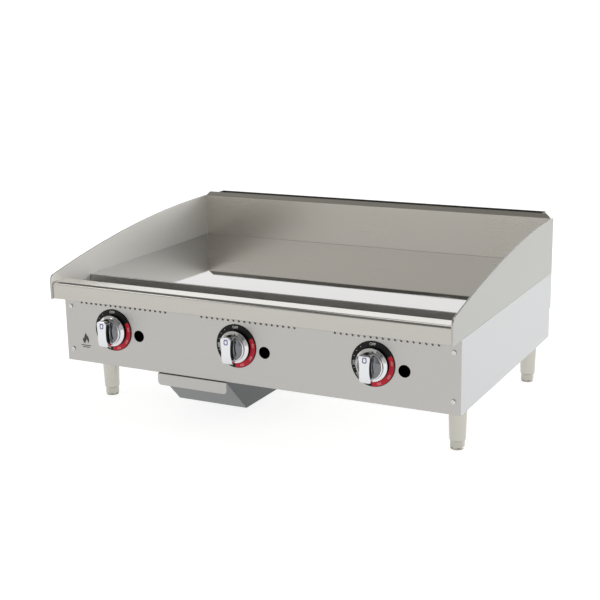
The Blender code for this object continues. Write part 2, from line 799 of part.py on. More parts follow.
def make_front_bulkhead(lighting_holes, pipe_hole):
    """Shields the controls from the burners and carries the front of the plate."""
    bottom = BASE + SHEET + GAP
    outline = rectangle(-BETWEEN_SPLASHES, BETWEEN_SPLASHES, bottom, PLATE_BOTTOM - GAP)
    wall = pressed("front_bulkhead", outline, "XZ", BULKHEAD_Y, BULKHEAD_Y + BULKHEAD_FLANGE)
    supplies = [(burner_x(station), BULKHEAD_Y, BURNER_Z) for station in STATIONS]
    supply_holes = rod_cutter("supply_holes", supplies, "Y", 2 * SUPPLY_RADIUS, THROUGH, 16)
    tubes = [(lighting_x(station), BULKHEAD_Y, PIPE_Z) for station in STATIONS]
    tube_holes = rod_cutter("pilot_tube_holes", tubes, "Y", 2 * PILOT_TUBE_RADIUS, THROUGH, 12)
    cut(wall, lighting_holes, pipe_hole, supply_holes, tube_holes)
    finish(wall, "aluminised")


def make_burner_rests():
    """Two folded cross members that stand on the bottom cover under the burners."""
    bottom = BASE + SHEET + GAP
    outline = rectangle(-REST_HALF, REST_HALF, bottom, REST_TOP)
    tubes = [(lighting_x(station), REST_FRONT, PIPE_Z) for station in STATIONS]
    tube_holes = rod_cutter("rest_tube_holes", tubes, "Y", 2 * PILOT_TUBE_RADIUS, THROUGH, 12)
    for name, y in (("front_burner_rest", REST_FRONT), ("rear_burner_rest", REST_REAR)):
        rest = pressed(name, outline, "XZ", y, y + REST_FLANGE, open_edges=(1, 3))
        if name.startswith("front"):
            cut(rest, tube_holes)
        finish(rest, "aluminised")


def make_heat_shield():
    """A shallow tray between the burner rests that throws heat back up to the plate.

    It passes over the gas pipe. In a low casing it would sink to the pipe, so it is cut clear of it.
    """
    low = REST_FRONT + REST_FLANGE + SHIELD_CLEARANCE
    high = REST_REAR - SHIELD_CLEARANCE
    bottom = REST_TOP - SHIELD_DROP
    outline = rectangle(-INSIDE, INSIDE, low, high)
    shield = pressed("heat_shield", outline, "XY", bottom, bottom + SHIELD_LIP)
    reach = PIPE_RADIUS + SHIELD_TO_PIPE
    beside_pipe = box_cutter(
        "beside_pipe",
        (PIPE_X - reach, low - SHEET, PIPE_Z - reach),
        (HALF, high + SHEET, PIPE_Z + reach),
    )
    cut(shield, beside_pipe)
    finish(shield, "aluminised")


def make_burners():
    """Straight tube burners, open at the front where the gas jet enters."""
    front = BULKHEAD_Y + SHEET + 4 * GAP
    length = REAR_FACE - BURNER_END_GAP - front
    wall = BURNER_RADIUS - BURNER_BORE
    profile = [
        (0, 0),
        (BURNER_RADIUS, 0),
        (BURNER_RADIUS, -length),
        (BURNER_BORE, -length),
        (BURNER_BORE, -wall),
        (0, -wall),
    ]
    for station in STATIONS:
        place = (burner_x(station), front + length, BURNER_Z)
        burner = turned(
            f"burner_{station}", profile, place, (math.radians(-90), 0, 0), steps=18
        )
        finish(burner, "aluminised")


def make_pilots():
    """Small upright pilots on the front burner rest, one in line with each lighting hole."""
    profile = [
        (0, PILOT_HEIGHT),
        (PILOT_TOP_RADIUS, PILOT_HEIGHT),
        (PILOT_RADIUS, PILOT_SHOULDER),
        (PILOT_RADIUS, 0),
        (0, 0),
    ]
    for station in STATIONS:
        place = (lighting_x(station), REST_FRONT + REST_FLANGE / 2, REST_TOP + GAP)
        pilot = turned(f"pilot_burner_{station}", profile, place, steps=16)
        finish(pilot, "brass")


def arc(centre, radius, start, end, steps, z):
    points = []
    for step in range(steps + 1):
        angle = math.radians(start + (end - start) * step / steps)
        across = radius * math.cos(angle)
        along = radius * math.sin(angle)
        points.append((centre[0] + across, centre[1] + along, z))
    return points


def make_gas_manifold():
    """One pipe: across behind the controls, round a bend, and back to the gas inlet."""
    closed_end = knob_x("left") - 2 * SPUD_RADIUS
    centre = (PIPE_X - PIPE_BEND, PIPE_Y + PIPE_BEND)
    bend = arc(centre, PIPE_BEND, -90, 0, BEND_STEPS, PIPE_Z)
    outside = [(closed_end, PIPE_Y, PIPE_Z)] + bend + [(PIPE_X, INLET_END - 2 * GAP, PIPE_Z)]
    bore_start = (closed_end + PIPE_RADIUS, PIPE_Y, PIPE_Z)
    bore_end = (PIPE_X, INLET_END + PIPE_RADIUS, PIPE_Z)
    inside = [bore_start] + bend + [bore_end]
    manifold = new_object("gas_manifold", curve_rod("gas_manifold", outside, PIPE_RADIUS))
    bore = as_cutter(new_object("manifold_bore", curve_rod("bore", inside, PIPE_BORE), cutters))
    cut(manifold, bore)
    smooth(manifold)
    finish(manifold, "black_iron")


def make_inlet_coupling():
    """A sleeve on the rear end of the pipe, where the supply line screws in."""
    inner = PIPE_RADIUS + GAP
    profile = [
        (COUPLING_RADIUS, COUPLING_LENGTH),
        (COUPLING_RADIUS, 0),
        (inner, 0),
        (inner, COUPLING_LENGTH),
    ]
    place = (PIPE_X, INLET_END, PIPE_Z)
    coupling = turned("inlet_coupling", profile, place, FACING_FRONT, closed=True)
    finish(coupling, "black_iron")


def make_thermostats():
    """Griddle thermostats with a gas spud below and a shaft boss in front."""
    half_x = VALVE_SIZE[0] / 2
    half_z = VALVE_SIZE[2] / 2
    front = PANEL_Y + VALVE_SETBACK
    back = front + VALVE_SIZE[1]
    spud_low = PIPE_Z + PIPE_RADIUS + GAP
    boss_front = PANEL_Y + SHEET + GAP
    for station in STATIONS:
        x = knob_x(station)
        valve = box(
            f"thermostat_{station}",
            (x - half_x, front, KNOB_Z - half_z),
            (x + half_x, back, KNOB_Z + half_z),
        )
        spud_high = KNOB_Z - half_z + SHEET
        spud_centre = (x, PIPE_Y, (spud_low + spud_high) / 2)
        spud = rod_cutter(
            f"spud_{station}", [spud_centre], "Z", SPUD_RADIUS, spud_high - spud_low, 12
        )
        boss_back = front + SHEET
        boss_centre = (x, (boss_front + boss_back) / 2, KNOB_Z)
        boss = rod_cutter(
            f"boss_{station}", [boss_centre], "Y", BOSS_RADIUS, boss_back - boss_front, 16
        )
        bore_back = front + STEM_IN_VALVE
        bore_centre = (x, (boss_front + bore_back) / 2 - SHEET, KNOB_Z)
        bore = rod_cutter(
            f"stem_bore_{station}",
            [bore_centre],
            "Y",
            STEM_RADIUS + STEM_CLEARANCE,
            bore_back - boss_front + 2 * SHEET,
            16,
        )
        join(valve, spud, boss)
        cut(valve, bore)
        finish(valve, "valve_casting")


def make_supply_tubes():
    """Bent tubes from each thermostat through the bulkhead to its burner."""
    start_y = PANEL_Y + VALVE_SETBACK + VALVE_SIZE[1] + GAP
    end_y = BULKHEAD_Y + SHEET
    outlet_z = KNOB_Z + SUPPLY_RISE
    for station in STATIONS:
        points = [(knob_x(station), start_y, outlet_z)]
        for step in range(BEND_STEPS + 1):
            share = step / BEND_STEPS
            ease = share * share * (3 - 2 * share)
            points.append(
                (
                    knob_x(station) - KNOB_OFFSET * ease,
                    start_y + SUPPLY_STRAIGHT + (end_y - start_y - 2 * SUPPLY_STRAIGHT) * share,
                    outlet_z + (BURNER_Z - outlet_z) * ease,
                )
            )
        points.append((burner_x(station), end_y, BURNER_Z))
        name = f"supply_tube_{station}"
        tube = new_object(name, curve_rod(name, points, SUPPLY_RADIUS, 2))
        smooth(tube)
        finish(tube, "gas_tube")


def make_pilot_tubes():
    """Thin tubes from the manifold, through the bulkhead and the rest, up to each pilot."""
    start_y = PIPE_Y + PIPE_RADIUS + GAP
    pilot_y = REST_FRONT + REST_FLANGE / 2
    top = REST_TOP - SHEET - GAP
    bend = PILOT_TUBE_BEND
    for station in STATIONS:
        x = lighting_x(station)
        turn = arc((pilot_y - bend, 0), bend, -90, 0, 4, 0)
        points = [(x, start_y, PIPE_Z)]
        points += [(x, a, PIPE_Z + bend + b) for a, b, _ in turn]
        points.append((x, pilot_y, top))
        name = f"pilot_tube_{station}"
        tube = new_object(name, curve_rod(name, points, PILOT_TUBE_RADIUS, 1))
        smooth(tube)
        finish(tube, "gas_tube")


# ---------------------------------------------------------------- controls


def make_dial_plates():
    profile = [
        (DIAL_RADIUS - DIAL_THICKNESS / 2, DIAL_THICKNESS),
        (DIAL_RADIUS, DIAL_THICKNESS / 2),
        (DIAL_RADIUS, 0),
        (SHAFT_HOLE, 0),
        (SHAFT_HOLE, DIAL_THICKNESS),
    ]
    for station in STATIONS:
        place = (knob_x(station), PANEL_Y - GAP, KNOB_Z)
        dial = turned(
            f"dial_plate_{station}", profile, place, FACING_FRONT, steps=40, closed=True
        )
        finish(dial, "dial_enamel")


def make_stems():
    """The thermostat shafts. Each turns with its knob."""
    back = VALVE_SETBACK + STEM_IN_VALVE - GAP
    front = -KNOB_STANDOFF - SOCKET_DEPTH + GAP
    profile = [(0, -front), (STEM_RADIUS, -front), (STEM_RADIUS, -back), (0, -back)]
    for station in STATIONS:
        place = (knob_x(station), PANEL_Y, KNOB_Z)
        stem = turned(f"thermostat_stem_{station}", profile, place, FACING_FRONT, steps=16)
        finish(stem, "brass")


def make_knobs():
    """A skirted knob with a raised grip. The origin is on the shaft axis at the panel face."""
    back = KNOB_STANDOFF
    socket_radius = STEM_RADIUS + STEM_CLEARANCE
    body_top = back + KNOB_BODY
    profile = [
        (0, body_top),
        (KNOB_BODY_RADIUS - KNOB_EDGE_WIDTH, body_top),
        (KNOB_BODY_RADIUS, body_top - KNOB_EDGE_HEIGHT),
        (KNOB_BODY_RADIUS + KNOB_BODY_FLARE, back + KNOB_SKIRT),
        (KNOB_SKIRT_RADIUS, back + KNOB_SKIRT_RIM),
        (KNOB_SKIRT_RADIUS, back),
        (0, back),
    ]
    for station in STATIONS:
        place = (knob_x(station), PANEL_Y, KNOB_Z)
        knob = turned(f"knob_{station}", profile, place, FACING_FRONT, steps=28)
        grip_mesh = box_mesh(
            (-GRIP_WIDTH / 2, -GRIP_LENGTH / 2, back + KNOB_SKIRT_RIM),
            (GRIP_WIDTH / 2, GRIP_LENGTH / 2, back + KNOB_LENGTH),
        )
        grip = as_cutter(new_object(f"grip_{station}", grip_mesh, cutters))
        grip.location = place
        grip.rotation_euler = FACING_FRONT
        bevel(grip, GRIP_EDGE, 1)
        socket_mesh = bmesh.new()
        socket_length = SOCKET_DEPTH + KNOB_STANDOFF
        add_rod(socket_mesh, (0, 0, socket_length / 2), "Z", socket_radius, socket_length, 16)
        socket = as_cutter(new_object(f"socket_{station}", socket_mesh, cutters))
        socket.location = place
        socket.rotation_euler = FACING_FRONT
        join(knob, grip)
        cut(knob, socket)
        finish(knob, "chrome")


def make_panel_screws():
    """Pan head screws that hold the front panel to the side panels."""
    profile = [
        (0, SCREW_HEAD_HEIGHT),
        (SCREW_CROWN_RADIUS, SCREW_HEAD_HEIGHT),
        (SCREW_HEAD_RADIUS, SCREW_RIM),
        (SCREW_HEAD_RADIUS, 0),
        (SCREW_RADIUS, 0),
        (SCREW_RADIUS, -SCREW_LENGTH),
        (0, -SCREW_LENGTH),
    ]
    for name, (x, z) in screw_places().items():
        place = (x, PANEL_Y - GAP, z)
        screw = turned(f"panel_screw_{name}", profile, place, FACING_FRONT, steps=12)
        finish(screw, "screw_steel")


# ---------------------------------------------------------------- legs


def leg_places():
    places = {}
    for row, y in LEG_Y.items():
        for side, sign in (("left", -1), ("right", 1)):
            places[f"{row}_{side}"] = (sign * (HALF - LEG_INSET), y)
    return places


def make_legs():
    """Tapered legs with a stud on top and a threaded bore below."""
    top = BASE - GAP
    bottom = FOOT_HEIGHT + GAP
    bore_radius = THREAD_RADIUS + THREAD_CLEARANCE
    bore_top = bottom + THREAD_LENGTH
    profile = [
        (0, BASE + LEG_STUD),
        (LEG_STUD_RADIUS, BASE + LEG_STUD),
        (LEG_STUD_RADIUS, top),
        (LEG_TOP_RADIUS, top),
        (LEG_TOP_RADIUS, top - LEG_COLLAR),
        (LEG_BOTTOM_RADIUS, bottom),
        (bore_radius, bottom),
        (bore_radius, bore_top),
        (0, bore_top),
    ]
    for name, (x, y) in leg_places().items():
        leg = turned(f"leg_{name}", profile, (x, y, 0), steps=20)
        finish(leg, "leg_metal")


def make_feet():
    """Levelling feet: a hexagon with a round pad below and a thread up into the leg."""
    thread_top = FOOT_HEIGHT + THREAD_LENGTH - GAP
    profile = [
        (0, thread_top),
        (THREAD_RADIUS, thread_top),
        (THREAD_RADIUS, FOOT_PAD_HEIGHT),
        (FOOT_PAD_RADIUS, FOOT_PAD_HEIGHT),
        (FOOT_SOLE_RADIUS, 0),
        (0, 0),
    ]
    for name, (x, y) in leg_places().items():
        foot = turned(f"foot_{name}", profile, (x, y, 0), steps=18)
        hexagon_mesh = bmesh.new()
        height = FOOT_HEIGHT - HEXAGON_BOTTOM
        centre = (0, 0, HEXAGON_BOTTOM + height / 2)
        add_rod(hexagon_mesh, centre, "Z", FOOT_RADIUS, height, 6)
        hexagon = as_cutter(new_object(f"hexagon_{name}", hexagon_mesh, cutters))
        hexagon.location = (x, y, 0)
        join(foot, hexagon)
        finish(foot, "foot_metal")


def main():
    screws = [(x, PANEL_Y, z) for x, z in screw_places().values()]
    screw_holes = rod_cutter("screw_holes", screws, "Y", SCREW_HOLE, 2 * THROUGH, 12)
    lit = [(lighting_x(station), PANEL_Y, LIGHTING_Z) for station in STATIONS]
    lighting_length = 2 * (BULKHEAD_Y - PANEL_Y + 2 * SHEET)
    lighting_holes = rod_cutter("lighting_holes", lit, "Y", LIGHTING_RADIUS, lighting_length, 24)
    pipe_centre = (PIPE_X, (BULKHEAD_Y + REAR_FACE) / 2, PIPE_Z)
    pipe_length = REAR_FACE - BULKHEAD_Y + 4 * SHEET
    pipe_hole = rod_cutter("pipe_hole", [pipe_centre], "Y", PIPE_RADIUS + 2 * GAP, pipe_length, 20)

    make_side_panels(screw_holes)
    make_front_panel(screw_holes, lighting_holes)
    make_rear_panel(pipe_hole)
    make_bottom_cover()
    make_front_rail()
    make_griddle_plate()
    make_side_splashes()
    make_back_splash()
    make_flue_duct()
    make_grease_trough()
    make_drain_chute()
    make_grease_drawer()
    make_drawer_pull()
    make_drawer_rails()
    make_front_bulkhead(lighting_holes, pipe_hole)
    make_burner_rests()
    make_heat_shield()
    make_burners()
    make_pilots()
    make_gas_manifold()
    make_inlet_coupling()
    make_thermostats()
    make_supply_tubes()
    make_pilot_tubes()
    make_dial_plates()
    make_stems()
    make_knobs()
    make_panel_screws()
    make_legs()
    make_feet()


main()
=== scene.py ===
"""The looks of the countertop gas griddle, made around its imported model."""

import math

import bmesh
import bpy
from mathutils import Matrix
from mathutils import Vector


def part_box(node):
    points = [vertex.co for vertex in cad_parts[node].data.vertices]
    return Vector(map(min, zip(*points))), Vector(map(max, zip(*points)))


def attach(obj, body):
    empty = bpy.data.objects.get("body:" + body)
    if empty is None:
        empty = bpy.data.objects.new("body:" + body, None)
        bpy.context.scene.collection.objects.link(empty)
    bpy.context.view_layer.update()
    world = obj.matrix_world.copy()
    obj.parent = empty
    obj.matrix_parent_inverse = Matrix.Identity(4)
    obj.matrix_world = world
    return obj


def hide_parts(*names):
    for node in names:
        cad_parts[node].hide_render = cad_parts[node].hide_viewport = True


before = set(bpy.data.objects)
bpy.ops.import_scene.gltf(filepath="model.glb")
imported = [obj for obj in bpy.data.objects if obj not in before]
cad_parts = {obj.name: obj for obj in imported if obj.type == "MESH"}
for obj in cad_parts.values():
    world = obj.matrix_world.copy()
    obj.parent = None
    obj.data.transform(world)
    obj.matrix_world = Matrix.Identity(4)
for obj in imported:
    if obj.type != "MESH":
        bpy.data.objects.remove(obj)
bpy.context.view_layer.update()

MERGE = 0.00001
STATIONS = ("left", "centre", "right")
CORNERS = ("front_left", "front_right", "rear_left", "rear_right")
FACING_FRONT = Matrix.Rotation(math.radians(90), 4, "X")  # local +Z to -Y, local +Y to +Z
SHEET = 0.0015  # casing sheet
GAP = 0.0003  # between pieces that touch


def span(node):
    """The lowest and highest corner of a node."""
    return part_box(node)


PANEL_LOW, PANEL_HIGH = span("front_panel")
RAIL_LOW, RAIL_HIGH = span("front_rail")
PLATE_LOW, PLATE_HIGH = span("griddle_plate")
PANEL_Y = PANEL_LOW.y


# ---------------------------------------------------------------- camera, light and floor

CAMERA_PLACE = (1.1839, -2.3637, 0.8852)
CAMERA_YAW = 27.32  # degrees to the left of straight ahead
CAMERA_PITCH = 14.251  # degrees down
CAMERA_ROLL = -1.077
CAMERA_LENS = 72.87
SENSOR = 36.0


def make_camera():
    """A camera that looks down a little at the front, from beyond its right end."""
    yaw = math.radians(CAMERA_YAW)
    pitch = math.radians(CAMERA_PITCH)
    roll = math.radians(CAMERA_ROLL)
    level = math.cos(pitch)
    forward = Vector((-math.sin(yaw) * level, math.cos(yaw) * level, -math.sin(pitch)))
    flat_right = Vector((math.cos(yaw), math.sin(yaw), 0))
    flat_up = flat_right.cross(forward)
    right = flat_right * math.cos(roll) + flat_up * math.sin(roll)
    up = flat_up * math.cos(roll) - flat_right * math.sin(roll)
    data = bpy.data.cameras.new("camera")
    data.lens = CAMERA_LENS
    data.sensor_width = SENSOR
    camera = bpy.data.objects.new("camera", data)
    bpy.context.scene.collection.objects.link(camera)
    turn = Matrix((right, up, -forward)).transposed().to_4x4()
    camera.matrix_world = Matrix.Translation(CAMERA_PLACE) @ turn
    bpy.context.scene.camera = camera


def linear(code):
    """An sRGB hex colour as the linear colour that the nodes take."""
    parts = [int(code[start : start + 2], 16) / 255 for start in (1, 3, 5)]
    return (*[p / 12.92 if p <= 0.04045 else ((p + 0.055) / 1.055) ** 2.4 for p in parts], 1)


def add(tree, kind, inputs=None, **settings):
    """Adds a node with its settings, and sets its inputs or links them to a socket or a node."""
    node = tree.nodes.new(kind)
    for name, value in settings.items():
        setattr(node, name, value)
    for name, value in (inputs or {}).items():
        if isinstance(value, bpy.types.Node):
            value = value.outputs[0]
        if isinstance(value, bpy.types.NodeSocket):
            tree.links.new(value, node.inputs[name])
        else:
            node.inputs[name].default_value = value
    return node


def area_light(name, place, target, width, height, watts):
    """A soft rectangular lamp that faces a point."""
    data = bpy.data.lights.new(name, "AREA")
    data.shape = "RECTANGLE"
    data.size = width
    data.size_y = height
    data.energy = watts
    light = bpy.data.objects.new(name, data)
    bpy.context.scene.collection.objects.link(light)
    aim = (Vector(target) - Vector(place)).to_track_quat("-Z", "Y")
    light.matrix_world = Matrix.Translation(place) @ aim.to_matrix().to_4x4()


VIEWER_SIDE = (0.50, -0.84, 0.21)
BACK_RIGHT = (0.62, 0.75, 0.22)
TENT_STRENGTH = 1.08
# Each soft light: name, place, the point that it faces, width, height and watts.
SOFT_LIGHTS = (
    ("key", (-2.4, -2.2, 2.6), (0, 0, 0.15), 1.4, 1.0, 8),
    ("right_fill", (3.0, 0.4, 1.3), (0.4, 0, 0.15), 1.8, 1.6, 10),
    ("top", (0.2, 0.6, 3.0), (0, 0, 0), 2.6, 2.0, 22),
)


def make_studio():
    """A light tent: bright all round, more so behind, dimmer overhead and where the viewer stands."""
    world = bpy.data.worlds.new("tent")
    bpy.context.scene.world = world
    world.use_nodes = True
    tree = world.node_tree
    direction = add(tree, "ShaderNodeTexCoord").outputs["Generated"]
    axes = add(tree, "ShaderNodeSeparateXYZ", {0: direction}).outputs
    toward = []
    for side in (VIEWER_SIDE, BACK_RIGHT):
        nearness = add(tree, "ShaderNodeVectorMath", {0: direction, 1: side}, operation="DOT_PRODUCT")
        toward.append(nearness.outputs["Value"])
    # Each patch: what it follows, where it starts, where it is whole, and its brightness there.
    patches = (
        (toward[0], 0.86, 0.985, 0.5),
        (toward[1], 0.76, 0.97, 2.1),
        (axes["Y"], 0.55, 0.82, 1.38),
        (axes["Z"], 0.34, 0.54, 0.20),
    )
    light = 1.0
    for source, first, last, level in patches:
        limits = {0: source, 1: first, 2: last, 3: 1.0, 4: level}
        patch = add(tree, "ShaderNodeMapRange", limits, interpolation_type="SMOOTHSTEP").outputs[0]
        light = add(tree, "ShaderNodeMath", {0: light, 1: patch}, operation="MULTIPLY").outputs[0]
    backdrop = tree.nodes["Background"]
    tree.links.new(light, backdrop.inputs["Color"])
    backdrop.inputs["Strength"].default_value = TENT_STRENGTH
    for values in SOFT_LIGHTS:
        area_light(*values)
    bpy.context.scene.view_settings.view_transform = "Standard"
    bpy.context.scene.view_settings.look = "None"


FLOOR_HALF = 60.0  # so far away that no view shows its edge


def make_floor():
    """A pale floor under the feet."""
    bm = bmesh.new()
    bmesh.ops.create_grid(bm, x_segments=1, y_segments=1, size=FLOOR_HALF)
    floor = plain_object("floor", bm, [floor_paint()])


# ---------------------------------------------------------------- materials


def start(name, colour, metallic, roughness):
    """A material with its shader and the object's own coordinates."""
    material = bpy.data.materials.new(name)
    material.use_nodes = True
    tree = material.node_tree
    shader = tree.nodes["Principled BSDF"]
    shader.inputs["Base Color"].default_value = linear(colour)
    shader.inputs["Metallic"].default_value = metallic
    shader.inputs["Roughness"].default_value = roughness
    coordinates = add(tree, "ShaderNodeTexCoord").outputs["Object"]
    return material, tree, shader, coordinates


BOARD_CLOUD = 0.8
BOARD_GLOW = 0.80


def floor_paint():
    """Matt white studio board, a little uneven."""
    material, tree, shader, place = start("white_studio_board", "#BCBCBB", 0.0, 0.85)
    cloud = add(tree, "ShaderNodeTexNoise", {"Vector": place, "Scale": 1 / BOARD_CLOUD, "Detail": 2.0})
    tones = {0: cloud, 6: linear("#BABAB9"), 7: linear("#BEBEBD")}
    tone = add(tree, "ShaderNodeMix", tones, data_type="RGBA")
    tree.links.new(tone.outputs[2], shader.inputs["Base Color"])
    shader.inputs["Emission Color"].default_value = linear("#FFFFFF")
    shader.inputs["Emission Strength"].default_value = BOARD_GLOW
    return material


def vary(tree, shader, grain, dark, light, least, most, ends=(0.3, 0.7)):
    """Lets the colour run between two tones, and the roughness between two values, with a grain."""
    tones = {0: grain, 6: linear(dark), 7: linear(light)}
    tone = add(tree, "ShaderNodeMix", tones, data_type="RGBA")
    tree.links.new(tone.outputs[2], shader.inputs["Base Color"])
    rough = add(tree, "ShaderNodeMapRange", {0: grain, 1: ends[0], 2: ends[1], 3: least, 4: most})
    tree.links.new(rough.outputs[0], shader.inputs["Roughness"])


GRAIN_LENGTH = 0.14
GRAIN_WIDTH = 0.0016  # real grain is about 0.1 mm apart: drawn coarser so that it shows
STREAK_SHARE = 0.55  # how much of the variation is streaks, the rest being marks of handling


def brushed(name, dark, light, roughness, grain, depth=0.000005, spread=0.08, smudge=0.22):
    """Stainless sheet, number 4 finish: brushed along one way, so highlights smear across it.

    Colour and roughness wander between fine streaks, and more slowly with handling and cleaning.
    """
    material, tree, shader, place = start(name, light, 1.0, roughness)
    scale = [1 / GRAIN_WIDTH] * 3
    scale["XYZ".index(grain)] = 1 / GRAIN_LENGTH
    stretched = add(tree, "ShaderNodeMapping", {"Vector": place, "Scale": scale})
    streaks = add(
        tree,
        "ShaderNodeTexNoise",
        {"Vector": stretched, "Scale": 1.0, "Detail": 5.0, "Roughness": 0.62},
    )
    marks = add(tree, "ShaderNodeTexNoise", {"Vector": place, "Scale": 1 / smudge, "Detail": 3.0})
    fine = add(tree, "ShaderNodeMath", {0: streaks, 1: STREAK_SHARE}, operation="MULTIPLY")
    shares = {0: marks, 1: 1 - STREAK_SHARE, 2: fine}
    total = add(tree, "ShaderNodeMath", shares, operation="MULTIPLY_ADD")
    vary(tree, shader, total.outputs[0], dark, light, roughness - spread / 2, roughness + spread / 2)
    relief = {"Strength": 0.35, "Distance": depth, "Height": streaks}
    bump = add(tree, "ShaderNodeBump", relief)
    tree.links.new(bump.outputs[0], shader.inputs["Normal"])
    return material


GRIND_LENGTH = 0.35
GRIND_WIDTH = 0.0022  # real grinding lines are finer: drawn coarser so that they show
HAZE = 0.19
WAVE = 0.30


def ground_plate():
    """Griddle plate: thick steel, surface ground lengthwise and polished until it mirrors.

    The grind leaves faint lines and slow waves, and oil haze makes some of it duller.
    """
    material, tree, shader, place = start("ground_and_polished_griddle_steel", "#B2AFAB", 1.0, 0.04)
    scale = (1 / GRIND_LENGTH, 1 / GRIND_WIDTH, 1 / GRIND_WIDTH)
    stretched = add(tree, "ShaderNodeMapping", {"Vector": place, "Scale": scale})
    lines = add(
        tree,
        "ShaderNodeTexNoise",
        {"Vector": stretched, "Scale": 1.0, "Detail": 4.0, "Roughness": 0.6},
    )
    haze = add(tree, "ShaderNodeTexNoise", {"Vector": place, "Scale": 1 / HAZE, "Detail": 4.0})
    waves = add(tree, "ShaderNodeTexNoise", {"Vector": place, "Scale": 1 / WAVE, "Detail": 1.0})
    limits = {0: haze, 1: 0.35, 2: 0.75, 3: 0.02, 4: 0.05}
    rough = add(tree, "ShaderNodeMapRange", limits)
    tree.links.new(rough.outputs[0], shader.inputs["Roughness"])
    tones = {0: lines, 6: linear("#9C9B9A"), 7: linear("#A5A4A3")}
    tone = add(tree, "ShaderNodeMix", tones, data_type="RGBA")
    tree.links.new(tone.outputs[2], shader.inputs["Base Color"])
    slow = add(tree, "ShaderNodeBump", {"Strength": 0.5, "Distance": 0.0003, "Height": waves})
    fine = add(
        tree,
        "ShaderNodeBump",
        {"Strength": 0.5, "Distance": 0.000004, "Height": lines, "Normal": slow},
    )
    tree.links.new(fine.outputs[0], shader.inputs["Normal"])
    return material


def speckled(name, dark, light, metallic, roughness, grain, depth, spread=0.12, **extra):
    """A cast, coated or mill surface: an even grain of one size in colour, roughness and relief."""
    material, tree, shader, place = start(name, light, metallic, roughness)
    noise = add(
        tree,
        "ShaderNodeTexNoise",
        {"Vector": place, "Scale": 1 / grain, "Detail": 3.0, "Roughness": 0.55},
    )
    vary(tree, shader, noise.outputs[0], dark, light, roughness - spread / 2, roughness + spread / 2)
    relief = {"Strength": 0.5, "Distance": depth, "Height": noise}
    bump = add(tree, "ShaderNodeBump", relief)
    tree.links.new(bump.outputs[0], shader.inputs["Normal"])
    for socket, value in extra.items():
        shader.inputs[socket.replace("_", " ")].default_value = value
    return material


SPANGLE = 0.006


def spangled():
    """Aluminised sheet: a dull grey hot-dip coat with a faint crystal pattern, 6 mm across."""
    material, tree, shader, place = start("aluminised_steel_sheet", "#A9A9A6", 1.0, 0.5)
    cells = add(tree, "ShaderNodeTexVoronoi", {"Vector": place, "Scale": 1 / SPANGLE})
    vary(tree, shader, cells.outputs["Color"], "#8F8F8C", "#B4B4B1", 0.42, 0.58, (0.0, 1.0))
    return material


# Control panel: satin and slightly warm, with its grain along the panel.
PANEL_STEEL = brushed("brushed_stainless_control_panel", "#ADABA7", "#BAB8B5", 0.34, "X")
# Front rail: polished brighter by hands and cloths, so its nose catches a sharp line of light.
RAIL_STEEL = brushed("brushed_stainless_front_rail", "#B2AFA8", "#BDBAB4", 0.19, "X")
# Side panels: the same stainless as the control panel, painted cooler and paler for the brighter light
# on the sides, with the grain front to back.
SIDE_STEEL_PAINTED_LIGHT = brushed("brushed_stainless_side_panel_painted_light", "#B9BABB", "#C3C4C5", 0.34, "Y")
# Splashes: the same sheet in and out; pale and soft inside, the paler tone being painted light for the
# bright reflection there, and plain satin outside.
SPLASH_INSIDE_PAINTED_LIGHT = brushed("brushed_stainless_splash_inside_painted_light", "#E4E2DE", "#EEECE8", 0.62, "Y")
SPLASH_OUTSIDE = brushed("brushed_stainless_splash_outside", "#A6A6A3", "#B2B2AE", 0.38, "Y")
# Back splash: rubbed until its grain hardly shows, warm and even.
BACK_STEEL = brushed(
    "brushed_stainless_back_splash", "#D1CDC4", "#D6D2C9", 0.28, "X", depth=0.0000005, spread=0.025
)
# Trough and drain: plain satin.
TROUGH_STEEL = brushed("brushed_stainless_trough", "#C4C3C0", "#D2D1CF", 0.36, "X")
# Flue: the same sheet, darkened as painted shade for the dim inside of the flue. Lip: the same sheet,
# darker than the splash below it. Both vary in small patches.
FLUE_PAINTED_SHADE_STEEL = brushed("stainless_flue_painted_shade", "#5E5D58", "#74726C", 0.40, "X", smudge=0.08)
LIP_STEEL = brushed("darker_stainless_lip", "#706E68", "#858279", 0.36, "X", smudge=0.08)
# Drawer: a darker steel than the casing; its side walls darker still, painted shade for the shadowed
# underside that they face.
DRAWER_STEEL = brushed("brushed_stainless_drawer", "#6B6C6D", "#7A7B7C", 0.30, "X")
DRAWER_SIDE_PAINTED_SHADE = brushed("drawer_sides_painted_shade", "#565758", "#626364", 0.34, "Y")
PLATE_STEEL = ground_plate()
SHEET_STEEL = spangled()
# Bright chrome over a die casting: nearly a mirror, with fine wiping marks.
CHROME = speckled("bright_chrome", "#D2D3D6", "#E0E1E4", 1.0, 0.06, 0.004, 0.000002, 0.03)
# The dome behind the grip: the same plating, painted darker as a painted dark reflection.
DOME_CHROME_PAINTED_DARK_REFLECTION = speckled("chrome_painted_dark_reflection", "#6C6D70", "#7E7F83", 1.0, 0.08, 0.004, 0.000002, 0.03)
# The flutes of the grip: the same chrome, painted glossy and nearly black as painted shade in the
# scoops.
FLUTE_PAINTED_SHADE = speckled("chrome_flute_painted_shade", "#0D0D0E", "#17171A", 1.0, 0.12, 0.004, 0.000002, 0.04)
# Vitreous black: glossy, with the slight orange peel of fired enamel.
BLACK_ENAMEL = speckled(
    "black_dial_enamel", "#0B0B0A", "#131312", 0.0, 0.35, 0.0012, 0.000006, 0.08, Specular_IOR_Level=0.18
)
RED_ENAMEL = speckled(
    "red_dial_enamel", "#AE1626", "#C2263A", 0.0, 0.35, 0.0012, 0.000006, 0.08, Specular_IOR_Level=0.18
)
